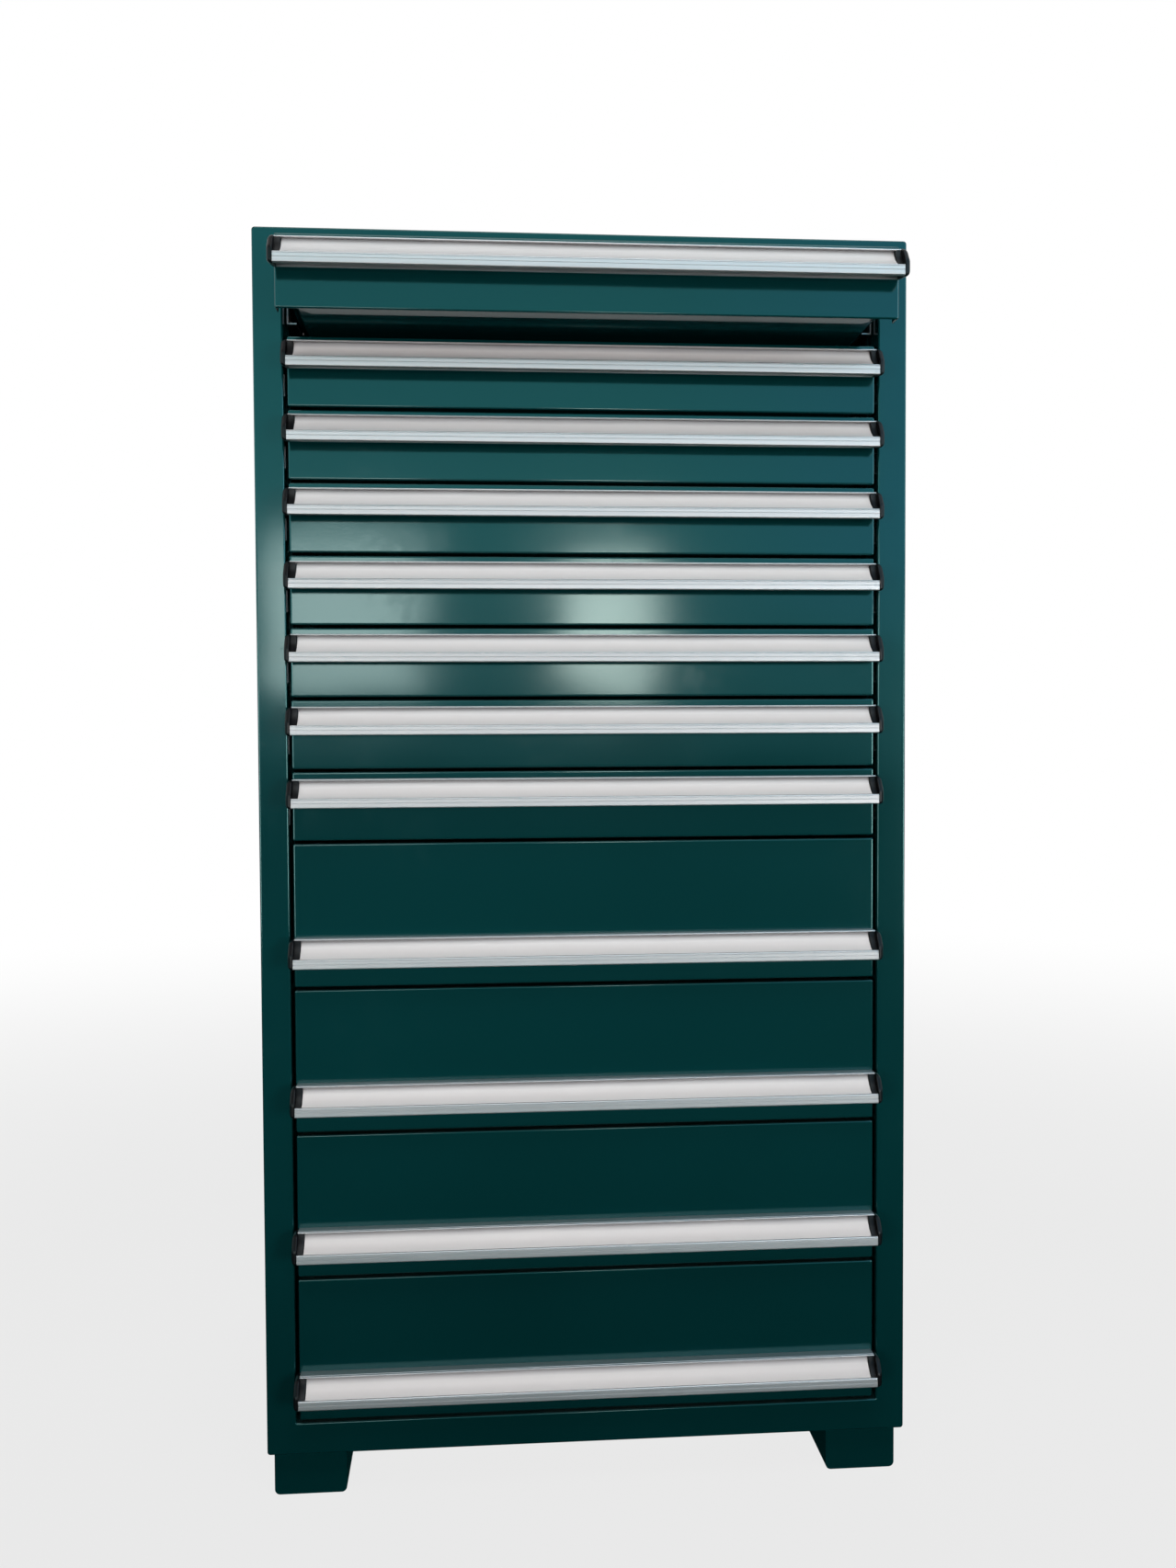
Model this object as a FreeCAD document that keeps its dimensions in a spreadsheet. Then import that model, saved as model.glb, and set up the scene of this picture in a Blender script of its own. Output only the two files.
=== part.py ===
# Tool cabinet with twelve drawers on roller slides, on two skids.
#
# Millimetres. +Z is up and the drawers open towards -Y. The origin is on the floor, midway
# across the cabinet and midway between its back and the handle of the top drawer, which is
# stored standing open. Right means +X, and drawer 01 is the top one.
import FreeCAD, Part
import math
import os
import Sketcher

os.makedirs("parts", exist_ok=True)
doc = FreeCAD.newDocument("tool_cabinet")
sheet = doc.addObject("Spreadsheet::Sheet", "sizes")


# A length that knows its number and the expression that gives it
class Size:
    def __init__(self, number, text):
        self.number = number
        self.text = text

    def __add__(self, other):
        other = as_size(other)
        return Size(self.number + other.number, f"({self.text} + {other.text})")

    def __sub__(self, other):
        other = as_size(other)
        return Size(self.number - other.number, f"({self.text} - {other.text})")

    def __mul__(self, factor):
        return Size(self.number * factor, f"({self.text} * {factor})")

    def __truediv__(self, divisor):
        return Size(self.number / divisor, f"({self.text} / {divisor})")

    def __neg__(self):
        return Size(-self.number, f"(0 - {self.text})")


def as_size(value):
    return value if isinstance(value, Size) else Size(float(value), str(float(value)))


def given(alias, number, meaning):
    """Writes one driving dimension into the sheet and returns it as a Size."""
    given.row += 1
    sheet.set(f"A{given.row}", alias)
    sheet.set(f"B{given.row}", str(number))
    sheet.set(f"C{given.row}", meaning)
    sheet.setAlias(f"B{given.row}", alias)
    return Size(float(number), f"sizes.{alias}")


given.row = 0

# Housing
overall_width = given("overall_width", 717, "across both side panels")
housing_height = given("housing_height", 1341, "from the skids to the top")
housing_depth = given("housing_depth", 725, "front of the posts to the back")
housing_sheet = given("housing_sheet", 1.5, "sheet steel of the housing")
bend_radius = given("bend_radius", 2.5, "outside radius of the housing's bends")
post_width = given("post_width", 32, "front face of each side post")
post_return = given("post_return", 30, "how far the post turns back into the cabinet")
back_flange = given("back_flange", 24, "side panel's flange behind the back panel")
top_band = given("top_band", 34.5, "front face above the drawer opening")
bottom_band = given("bottom_band", 35.1, "front face below the drawer opening")
band_return = given("band_return", 20, "how far the top and bottom bands turn back")
seam_lap = given("seam_lap", 17, "back panel's overlap on each side flange")
rear_flange_gap = given("rear_flange_gap", 2, "top sheet's rear flange to the side walls")

# Skids
skid_height = given("skid_height", 55, "floor to the underside of the housing")
skid_width = given("skid_width", 80, "across one skid")
skid_wall = given("skid_wall", 3, "tube wall of a skid")
skid_corner = given("skid_corner", 6, "rounded lower corners of a skid")
skid_inset = given("skid_inset", 5, "side of the cabinet to the skid")
skid_recess = given("skid_recess", 20, "front and back of the cabinet to the skid's ends")

# Skid bolts
bolt_radius = given("bolt_radius", 6, "shank of a skid bolt")
bolt_clearance = given("bolt_clearance", 0.3, "round the shank in sheet and nut")
bolt_head_across = given("bolt_head_across", 19, "across the flats of the head")
bolt_head_height = given("bolt_head_height", 7.5, "height of the head")
bolt_setback = given("bolt_setback", 90, "end of the skid to the bolt")
bolt_overrun = given("bolt_overrun", 2, "shank that shows below the nut")
nut_radius = given("nut_radius", 11, "weld nut under the skid's upper wall")
nut_height = given("nut_height", 10, "height of the weld nut")

# Drawer fronts
small_pitch = given("small_pitch", 78.25, "height taken by a small drawer")
panel_gap = given("panel_gap", 3.4, "between two drawer fronts, and to the bands")
panel_side_gap = given("panel_side_gap", 4.2, "between a drawer front and the post")
panel_sheet = given("panel_sheet", 1.5, "sheet steel of a drawer front")
panel_return = given("panel_return", 20, "how far a drawer front turns back")
lower_return_inset = given("lower_return_inset", 22.5, "bottom return short of the front's sides")
lower_return_mitre = given("lower_return_mitre", 12, "slant of the bottom return's ends")
rest_opening = given("rest_opening", 90, "how far the top drawer stands open")

# Drawer trays
tray_sheet = given("tray_sheet", 1.2, "sheet steel of a tray")
tray_back_gap = given("tray_back_gap", 100.5, "closed tray to the back panel")
tray_lift = given("tray_lift", 4, "bottom of the front to the bottom of the tray")
tray_headroom = given("tray_headroom", 10.6, "top of the tray to the top of the front")

# Slides
rail_side_gap = given("rail_side_gap", 1.5, "post to the fixed rail")
rail_front_gap = given("rail_front_gap", 4, "side return of a drawer front to the rails")
rail_level = given("rail_level", 16, "bottom of a drawer front to its rails")
rail_height = given("rail_height", 24, "height of a rail")
rail_sheet = given("rail_sheet", 1.5, "sheet steel of a rail")
tray_rail_depth = given("tray_rail_depth", 9.5, "how far the tray rail's flanges reach out")
tray_rail_end = given("tray_rail_end", 7.5, "back of the tray to its rails' end")
fixed_rail_extra = given("fixed_rail_extra", 1, "fixed rail deeper than the tray rail")
fixed_rail_end = given("fixed_rail_end", 65, "back of the cabinet to the fixed rails' end")
carriage_gap = given("carriage_gap", 0.5, "carriage bar to the rails beside it")
carriage_bar = given("carriage_bar", 2, "thickness of the carriage bar")
carriage_height = given("carriage_height", 18, "height of the carriage bar")
carriage_end = given("carriage_end", 138, "closed carriage to the fixed rail's end")
carriage_setback = given("carriage_setback", 122, "front of the cabinet to a closed carriage")
roller_gap = given("roller_gap", 0.3, "roller to the rail's flanges")
roller_web_gap = given("roller_web_gap", 0.7, "roller pin's head to the web of the tray rail")
roller_side_gap = given("roller_side_gap", 0.5, "roller to the bar and to its pin's head")
roller_inner = given("roller_inner", 30, "carriage's middle to the near roller")
roller_end = given("roller_end", 20, "end of the carriage to its far roller")
pin_radius = given("pin_radius", 3, "roller pin")
pin_clearance = given("pin_clearance", 0.3, "round the pin inside the roller")
pin_head_radius = given("pin_head_radius", 4.5, "riveted head of the roller pin")
pin_head = given("pin_head", 0.8, "thickness of that head")

# Slotted uprights
upright_depth = given("upright_depth", 25, "front to back of an upright")
upright_setback = given("upright_setback", 40, "front of the cabinet to the front upright")
upright_end = given("upright_end", 35, "rear upright to the fixed rails' end")
tab_length = given("tab_length", 10, "rail's tab, front to back")
tab_height = given("tab_height", 8, "rail's tab, bottom to top")
tab_reach = given("tab_reach", 3.5, "rail's tab beyond the rail")
tab_clearance = given("tab_clearance", 0.3, "round the tab in its slot")

# Handles: a grip that hangs out and down from a flange, with a slanted label face between
handle_inset = given("handle_inset", 2, "end of the drawer front to the handle's end")
handle_top_gap = given("handle_top_gap", 7.4, "handle below a small front's top")
handle_large_level = given("handle_large_level", 23.7, "handle above a large front's bottom")
handle_height = given("handle_height", 31, "bottom of the lip to the top of the flange")
handle_reach = given("handle_reach", 29.5, "drawer front to the front of the lip")
handle_wall = given("handle_wall", 1.8, "wall of the extrusion")
flange_reach = given("flange_reach", 15, "drawer front to the edge of the top flange")
label_top_reach = given("label_top_reach", 10.5, "drawer front to the top of the label face")
label_foot_reach = given("label_foot_reach", 20.5, "drawer front to the foot of the label face")
lip_height = given("lip_height", 10.8, "front face of the lip")
lip_curl = given("lip_curl", 5.5, "how far the lip turns back at the bottom")
back_wall_drop = given("back_wall_drop", 27, "top of the handle to its back wall's end")

# Handle end caps
cap_plate = given("cap_plate", 5.9, "end plate beyond the extrusion")
cap_overhang = given("cap_overhang", 0.5, "end plate proud of the extrusion")
cap_nose = given("cap_nose", 9, "rounding of the plate's upper front")
cap_edge = given("cap_edge", 2, "rounding of the plate's outer edge")
cap_plug = given("cap_plug", 7, "plug in front of the label face")
cap_plug_gap = given("cap_plug_gap", 0.15, "plug to the extrusion")

SMALL_DRAWERS = 8
LARGE_DRAWERS = 4

# How far a cutting solid runs past the face that it cuts through
OVERRUN = 1

# Places that several pieces share
half_width = overall_width / 2
post_inner = half_width - post_width
wall_inner = half_width - housing_sheet
front = (rest_opening + handle_reach + cap_overhang - housing_depth) / 2
back = front + housing_depth
under = skid_height
roof = under + housing_height
roof_under = roof - housing_sheet
opening_top = roof - top_band
opening_bottom = under + bottom_band
stack_top = opening_top - panel_gap / 2
stack_bottom = opening_bottom + panel_gap / 2
large_pitch = (stack_top - stack_bottom - small_pitch * SMALL_DRAWERS) / LARGE_DRAWERS
panel_half = post_inner - panel_side_gap
handle_small_level = small_pitch - panel_gap - handle_height - handle_top_gap
fixed_rail_outer = post_inner - rail_side_gap
fixed_rail_depth = tray_rail_depth + fixed_rail_extra
bar_outer = fixed_rail_outer - fixed_rail_depth - carriage_gap
bar_inner = bar_outer - carriage_bar
tray_half = bar_inner - carriage_gap - tray_rail_depth
tray_length = housing_depth - housing_sheet * 2 - panel_sheet - tray_back_gap
rail_setback = panel_return + rail_front_gap
tray_rail_length = panel_sheet + tray_length - tray_rail_end - rail_setback
fixed_rail_length = housing_depth - fixed_rail_end - rail_setback
rear_upright_setback = rail_setback + fixed_rail_length - upright_end - upright_depth
carriage_length = rail_setback + fixed_rail_length - carriage_end - carriage_setback
roller_outer = carriage_length / 2 - roller_end
roller_radius = rail_height / 2 - rail_sheet - roller_gap
roller_space = tray_rail_depth - rail_sheet + carriage_gap - pin_head - roller_web_gap
roller_width = roller_space - roller_side_gap * 2
handle_half = panel_half - handle_inset


# Building blocks

def block(name, low, high):
    """Part::Box between two opposite corners."""
    piece = doc.addObject("Part::Box", name)
    for side, start, end in zip(("Length", "Width", "Height"), low, high):
        piece.setExpression(side, (as_size(end) - start).text)
    for axis, start in zip("xyz", low):
        piece.setExpression(f"Placement.Base.{axis}", as_size(start).text)
    return piece


def block_pair(name, low, high):
    """A block on the right and its mirror image on the left."""
    left_low = (-high[0], low[1], low[2])
    left_high = (-low[0], high[1], high[2])
    return [block(name + "_right", low, high), block(name + "_left", left_low, left_high)]


def disc(name, start, radius, length):
    """Part::Cylinder along +X from start."""
    piece = doc.addObject("Part::Cylinder", name)
    piece.Placement = FreeCAD.Placement(FreeCAD.Vector(), FreeCAD.Rotation(FreeCAD.Vector(0, 1, 0), 90))
    piece.setExpression("Radius", as_size(radius).text)
    piece.setExpression("Height", as_size(length).text)
    for axis, place in zip("xyz", start):
        piece.setExpression(f"Placement.Base.{axis}", as_size(place).text)
    return piece


def upright_disc(name, start, radius, length):
    """Part::Cylinder along +Z from start."""
    piece = doc.addObject("Part::Cylinder", name)
    piece.setExpression("Radius", as_size(radius).text)
    piece.setExpression("Height", as_size(length).text)
    for axis, place in zip("xyz", start):
        piece.setExpression(f"Placement.Base.{axis}", as_size(place).text)
    return piece


def joined(name, pieces):
    whole = doc.addObject("Part::MultiFuse", name)
    whole.Shapes = pieces
    whole.Refine = True
    return whole


def cut(name, base, tools):
    tool = tools[0] if len(tools) == 1 else joined(name + "_tools", tools)
    piece = doc.addObject("Part::Cut", name)
    piece.Base = base
    piece.Tool = tool
    return piece


def mirrored(name, source):
    """The left-hand twin of a right-hand piece."""
    piece = doc.addObject("Part::Mirroring", name)
    piece.Source = source
    piece.Base = FreeCAD.Vector(0, 0, 0)
    piece.Normal = FreeCAD.Vector(1, 0, 0)
    return piece


def group(name, pieces):
    """Separate solids that share one node."""
    whole = doc.addObject("Part::Compound", name)
    whole.Links = pieces
    return whole


def profile(body, name, role, corners):
    """Sketch of a closed outline on one of the body's origin planes, each corner tied down."""
    sketch = body.newObject("Sketcher::SketchObject", name)
    plane = next(item for item in body.Origin.OriginFeatures if item.Role == role)
    sketch.AttachmentSupport = [(plane, "")]
    sketch.MapMode = "FlatFace"
    corners = [(as_size(across), as_size(along)) for across, along in corners]
    spots = [FreeCAD.Vector(across.number, along.number, 0) for across, along in corners]
    count = len(spots)
    for index in range(count):
        sketch.addGeometry(Part.LineSegment(spots[index], spots[(index + 1) % count]), False)
    for index in range(count):
        sketch.addConstraint(Sketcher.Constraint("Coincident", index, 2, (index + 1) % count, 1))
    for index, corner in enumerate(corners):
        for kind, place in zip(("DistanceX", "DistanceY"), corner):
            number = sketch.addConstraint(Sketcher.Constraint(kind, -1, 1, index, 1, place.number))
            label = f"corner_{index + 1}_{kind}"
            sketch.renameConstraint(number, label)
            sketch.setExpression(f"Constraints.{label}", place.text)
    return sketch


def body_at(name, place):
    body = doc.addObject("PartDesign::Body", name)
    for axis, start in zip("xyz", place):
        body.setExpression(f"Placement.Base.{axis}", as_size(start).text)
    return body


def pad(body, sketch, length, reverse=False):
    feature = body.newObject("PartDesign::Pad", sketch.Name + "_pad")
    feature.Profile = sketch
    feature.Reversed = reverse
    feature.setExpression("Length", as_size(length).text)
    sketch.Visibility = False
    return feature


def rounded(body, base, name, radius, chosen):
    """PartDesign::Fillet on the edges of base that chosen(edge) picks."""
    doc.recompute()
    edges = [f"Edge{number}" for number, edge in enumerate(base.Shape.Edges, 1) if chosen(edge)]
    feature = body.newObject("PartDesign::Fillet", name)
    feature.Base = (base, edges)
    feature.setExpression("Radius", as_size(radius).text)
    return feature


def runs_along(edge, axis):
    first, last = edge.Vertexes[0].Point, edge.Vertexes[-1].Point
    span = last - first
    others = [value for name, value in zip("xyz", span) if name != axis]
    return max(abs(value) for value in others) < 1e-6 and span.Length > 1e-6


def near(value, size):
    return abs(value - as_size(size).number) < 1e-3


# Housing: two folded side panels, top, base and back

def side_panel():
    """Right side panel: one sheet folded into the front post and the back flange."""
    body = body_at("right_side_panel", (0, front, under))
    depth = housing_depth
    sheet_edge = housing_sheet
    sketch = profile(body, "side_panel_section", "XY_Plane", [
        (post_inner, post_return), (post_inner, 0), (half_width, 0), (half_width, depth),
        (half_width - back_flange, depth), (half_width - back_flange, depth - sheet_edge),
        (wall_inner, depth - sheet_edge), (wall_inner, sheet_edge),
        (post_inner + sheet_edge, sheet_edge), (post_inner + sheet_edge, post_return),
    ])
    panel = pad(body, sketch, housing_height - housing_sheet)

    def outer_bend(edge):
        spot = edge.Vertexes[0].Point
        on_front = near(spot.y, 0) and (near(spot.x, half_width) or near(spot.x, post_inner))
        on_back = near(spot.y, depth) and near(spot.x, half_width)
        return runs_along(edge, "z") and (on_front or on_back)

    def inner_bend(edge):
        spot = edge.Vertexes[0].Point
        at_front = near(spot.y, sheet_edge)
        at_back = near(spot.y, depth - sheet_edge) and near(spot.x, wall_inner)
        return runs_along(edge, "z") and (at_front or at_back)

    outside = rounded(body, panel, "side_panel_bends", bend_radius, outer_bend)
    rounded(body, outside, "side_panel_inner_bends", bend_radius - housing_sheet, inner_bend)
    return body


def top_panel():
    """Top sheet on the side panels, with a front band between the posts."""
    body = body_at("top_sheet", (0, front, roof_under))
    sketch = profile(body, "top_sheet_outline", "XY_Plane", [
        (-half_width, 0), (half_width, 0), (half_width, housing_depth), (-half_width, housing_depth),
    ])
    plate = pad(body, sketch, housing_sheet)
    rounded(body, plate, "top_sheet_corners", bend_radius, lambda edge: runs_along(edge, "z"))
    band = block("top_band_face", (-post_inner, front, opening_top),
                 (post_inner, front + housing_sheet, roof_under))
    turn = block("top_band_return", (-post_inner, front, opening_top),
                 (post_inner, front + band_return, opening_top + housing_sheet))
    rear = back - housing_sheet * 2
    rear_reach = wall_inner - rear_flange_gap
    rear_flange = block("top_rear_flange", (-rear_reach, rear - housing_sheet, roof_under - band_return),
                        (rear_reach, rear, roof_under))
    return joined("top_panel", [body, band, turn, rear_flange])


def base_panel():
    """Floor of the housing, notched round the posts, with the bottom band and bolt holes."""
    rear = back - housing_sheet * 2
    floor = block("base_floor", (-wall_inner, front + post_return, under),
                  (wall_inner, rear, under + housing_sheet))
    tongue = block("base_tongue", (-post_inner, front, under),
                   (post_inner, front + post_return, under + housing_sheet))
    band = block("bottom_band_face", (-post_inner, front, under),
                 (post_inner, front + housing_sheet, opening_bottom))
    turn = block("bottom_band_return", (-post_inner, front, opening_bottom - housing_sheet),
                 (post_inner, front + band_return, opening_bottom))
    whole = joined("base_blank", [floor, tongue, band, turn])
    holes = [upright_disc(f"base_hole_{index}", (across, along, under - OVERRUN),
                          bolt_radius + bolt_clearance, housing_sheet + OVERRUN * 2)
             for index, (across, along) in enumerate(bolt_places(), 1)]
    return cut("base_panel", whole, holes)


def back_panel():
    rear = back - housing_sheet
    reach = half_width - back_flange + seam_lap
    return block("back_panel", (-reach, rear - housing_sheet, under), (reach, rear, roof_under))


# Skids and their bolts

def bolt_places():
    across = half_width - skid_inset - skid_width / 2
    first = front + skid_recess + bolt_setback
    last = back - skid_recess - bolt_setback
    return [(side, along) for side in (across, -across) for along in (first, last)]


def skid():
    """Right skid: a tube with a closed front, two weld nuts under its upper wall."""
    outer = half_width - skid_inset
    inner = outer - skid_width
    body = body_at("skid_block", (inner, front + skid_recess, 0))
    length = housing_depth - skid_recess * 2
    sketch = profile(body, "skid_outline", "XY_Plane", [
        (0, 0), (skid_width, 0), (skid_width, length), (0, length),
    ])
    solid = pad(body, sketch, skid_height)
    rounded(body, solid, "skid_corners", skid_corner,
            lambda edge: runs_along(edge, "y") and near(edge.Vertexes[0].Point.z, 0))
    hollow = block("skid_hollow", (inner + skid_wall, front + skid_recess + skid_wall, skid_wall),
                   (outer - skid_wall, back, skid_height - skid_wall))
    tube = cut("skid_tube", body, [hollow])
    spots = [place for place in bolt_places() if place[0].number > 0]
    nut_foot = skid_height - skid_wall - nut_height
    nuts = [upright_disc(f"weld_nut_{index}", (across, along, nut_foot), nut_radius, nut_height)
            for index, (across, along) in enumerate(spots, 1)]
    bores = [upright_disc(f"skid_bore_{index}", (across, along, nut_foot - OVERRUN),
                          bolt_radius + bolt_clearance, nut_height + skid_wall + OVERRUN * 2)
             for index, (across, along) in enumerate(spots, 1)]
    return cut("right_skid", joined("skid_with_nuts", [tube] + nuts), bores)


def skid_bolts():
    """Hexagon-headed bolts that stand on the housing floor and screw into the weld nuts."""
    bolts = []
    seat = under + housing_sheet
    foot = skid_height - skid_wall - nut_height - bolt_overrun
    for index, (across, along) in enumerate(bolt_places(), 1):
        head = doc.addObject("Part::Prism", f"bolt_head_{index}")
        head.Polygon = 6
        head.setExpression("Circumradius", (bolt_head_across / math.sqrt(3)).text)
        head.setExpression("Height", bolt_head_height.text)
        for axis, place in zip("xyz", (across, along, seat)):
            head.setExpression(f"Placement.Base.{axis}", place.text)
        shank = upright_disc(f"bolt_shank_{index}", (across, along, foot), bolt_radius,
                             seat + bolt_head_height / 2 - foot)
        bolts.append(joined(f"skid_bolt_{index}", [head, shank]))
    return group("skid_bolts", bolts)


# Uprights and fixed rails

def rail_tab(rail_floor, setback, clearance):
    """Corners of a rail's tab in an upright, or with a clearance of the slot round it."""
    middle = front + setback + upright_depth / 2
    centre = rail_floor + rail_height / 2
    low = (fixed_rail_outer - clearance, middle - tab_length / 2 - clearance,
           centre - tab_height / 2 - clearance)
    high = (fixed_rail_outer + tab_reach + clearance, middle + tab_length / 2 + clearance,
            centre + tab_height / 2 + clearance)
    return low, high


def uprights(name, setback, drawers):
    """Two channel uprights, one behind the other post, slotted for the rails' tabs."""
    start = front + setback
    end = start + upright_depth
    low = under + housing_sheet
    outside = block(name + "_blank", (fixed_rail_outer, start, low), (wall_inner, end, roof_under))
    inside = block(name + "_hollow",
                   (fixed_rail_outer + housing_sheet, start + housing_sheet, low - OVERRUN),
                   (wall_inner + OVERRUN, end - housing_sheet, roof_under + OVERRUN))
    slots = [block(f"{name}_slot_{drawer['number']}", *rail_tab(drawer["rail_floor"], setback, tab_clearance))
             for drawer in drawers]
    right = cut(name + "_right", outside, [inside] + slots)
    return group(name, [right, mirrored(name + "_left", right)])


def fixed_rails(drawers):
    """One channel per drawer that opens inwards, hung in the uprights by two tabs."""
    rails = []
    for drawer in drawers:
        tag = drawer["number"]
        floor = drawer["rail_floor"]
        start = front + rail_setback
        end = start + fixed_rail_length
        outside = block(f"fixed_rail_blank_{tag}", (fixed_rail_outer - fixed_rail_depth, start, floor),
                        (fixed_rail_outer, end, floor + rail_height))
        inside = block(f"fixed_rail_hollow_{tag}",
                       (fixed_rail_outer - fixed_rail_depth - OVERRUN, start - OVERRUN, floor + rail_sheet),
                       (fixed_rail_outer - rail_sheet, end + OVERRUN, floor + rail_height - rail_sheet))
        channel = cut(f"fixed_rail_channel_{tag}", outside, [inside])
        tabs = [block(f"fixed_rail_tab_{tag}_{place}", *rail_tab(floor, setback, as_size(0)))
                for place, setback in (("front", upright_setback), ("rear", rear_upright_setback))]
        rails.append(joined(f"fixed_rail_{tag}", [channel] + tabs))
    right = group("right_fixed_rails", rails)
    return right, mirrored("left_fixed_rails", right)


# Drawers

def tray(drawer):
    """Front pan, tray and two outward channels, welded into one piece."""
    tag = drawer["number"]
    face = drawer["front"]
    floor = drawer["floor"]
    top = drawer["top"]
    behind = face + panel_sheet
    turned = face + panel_return
    pan = [
        block(f"front_face_{tag}", (-panel_half, face, floor), (panel_half, behind, top)),
        block(f"front_top_return_{tag}", (-panel_half, face, top - panel_sheet), (panel_half, turned, top)),
    ]
    pan += block_pair(f"front_side_return_{tag}", (panel_half - panel_sheet, face, floor),
                      (panel_half, turned, top))
    lower = doc.addObject("Part::Wedge", f"front_lower_return_{tag}")
    reach = panel_half - lower_return_inset
    limits = {"Xmin": -reach, "Xmax": reach, "X2min": lower_return_mitre - reach,
              "X2max": reach - lower_return_mitre, "Ymin": face, "Ymax": turned,
              "Zmin": floor, "Zmax": floor + panel_sheet, "Z2min": floor, "Z2max": floor + panel_sheet}
    for limit, place in limits.items():
        lower.setExpression(limit, place.text)
    tray_floor = floor + tray_lift
    outside = block(f"tray_blank_{tag}", (-tray_half, behind, tray_floor),
                    (tray_half, behind + tray_length, top - tray_headroom))
    inner_half = tray_half - tray_sheet
    inside = block(f"tray_hollow_{tag}", (-inner_half, behind + tray_sheet, tray_floor + tray_sheet),
                   (inner_half, behind + tray_length - tray_sheet, top))
    shell = cut(f"tray_shell_{tag}", outside, [inside])
    rail_floor = drawer["rail_floor"]
    rail_top = rail_floor + rail_height
    start = face + rail_setback
    end = start + tray_rail_length
    edge = tray_half + tray_rail_depth
    rails = block_pair(f"tray_rail_web_{tag}", (tray_half, start, rail_floor),
                       (tray_half + rail_sheet, end, rail_top))
    rails += block_pair(f"tray_rail_lower_{tag}", (tray_half, start, rail_floor),
                        (edge, end, rail_floor + rail_sheet))
    rails += block_pair(f"tray_rail_upper_{tag}", (tray_half, start, rail_top - rail_sheet),
                        (edge, end, rail_top))
    return joined(f"drawer_{tag}_tray", pan + [lower, shell] + rails)


def handle(drawer):
    """Aluminium extrusion along the drawer front, open underneath for the fingers."""
    tag = drawer["number"]
    body = body_at(f"drawer_{tag}_handle", (-handle_half, drawer["front"], drawer["handle_floor"]))
    top = handle_height
    wall = handle_wall
    sketch = profile(body, f"handle_section_{tag}", "YZ_Plane", [
        (0, top), (-flange_reach, top), (-flange_reach, top - wall),
        (-label_top_reach, top - wall), (-label_foot_reach, lip_height), (-handle_reach, lip_height),
        (-handle_reach, 0), (lip_curl - handle_reach, 0), (lip_curl - handle_reach, wall),
        (wall - handle_reach, wall), (wall - handle_reach, lip_height - wall),
        (wall - label_foot_reach, lip_height - wall), (wall - label_top_reach, top - wall * 2),
        (-wall, top - wall * 2), (-wall, top - back_wall_drop), (0, top - back_wall_drop),
    ])
    pad(body, sketch, handle_half * 2)
    return body


def end_caps(drawer):
    """Black cap on each end of the handle: a rounded plate and a plug over the label face."""
    tag = drawer["number"]
    body = body_at(f"end_cap_right_{tag}", (handle_half, drawer["front"], drawer["handle_floor"]))
    top = handle_height + cap_overhang
    nose = handle_reach + cap_overhang
    shoulder = flange_reach + cap_overhang
    plate_outline = profile(body, f"cap_plate_outline_{tag}", "YZ_Plane", [
        (0, top), (-shoulder, top), (-nose, lip_height + cap_overhang), (-nose, -cap_overhang),
        (lip_curl - nose, -cap_overhang), (0, top - back_wall_drop),
    ])
    plate = pad(body, plate_outline, cap_plate)
    gap = cap_plug_gap
    plug_outline = profile(body, f"cap_plug_outline_{tag}", "YZ_Plane", [
        (-label_top_reach - gap, handle_height - handle_wall - gap),
        (-flange_reach, handle_height - handle_wall - gap),
        (-handle_reach + lip_curl / 2, lip_height + gap),
        (-label_foot_reach - gap, lip_height + gap),
    ])
    whole = pad(body, plug_outline, cap_plug, reverse=True)

    def nose_edge(edge):
        spot = edge.Vertexes[0].Point
        upper = near(spot.y, -shoulder) and near(spot.z, top)
        middle = near(spot.y, -nose) and near(spot.z, lip_height + cap_overhang)
        return runs_along(edge, "x") and (upper or middle)

    nosed = rounded(body, whole, f"cap_nose_{tag}", cap_nose, nose_edge)

    def outer_rim(edge):
        return all(near(spot.Point.x, cap_plate) for spot in edge.Vertexes)

    rounded(body, nosed, f"cap_rim_{tag}", cap_edge, outer_rim)
    return group(f"drawer_{tag}_end_caps", [body, mirrored(f"end_cap_left_{tag}", body)])


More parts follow.
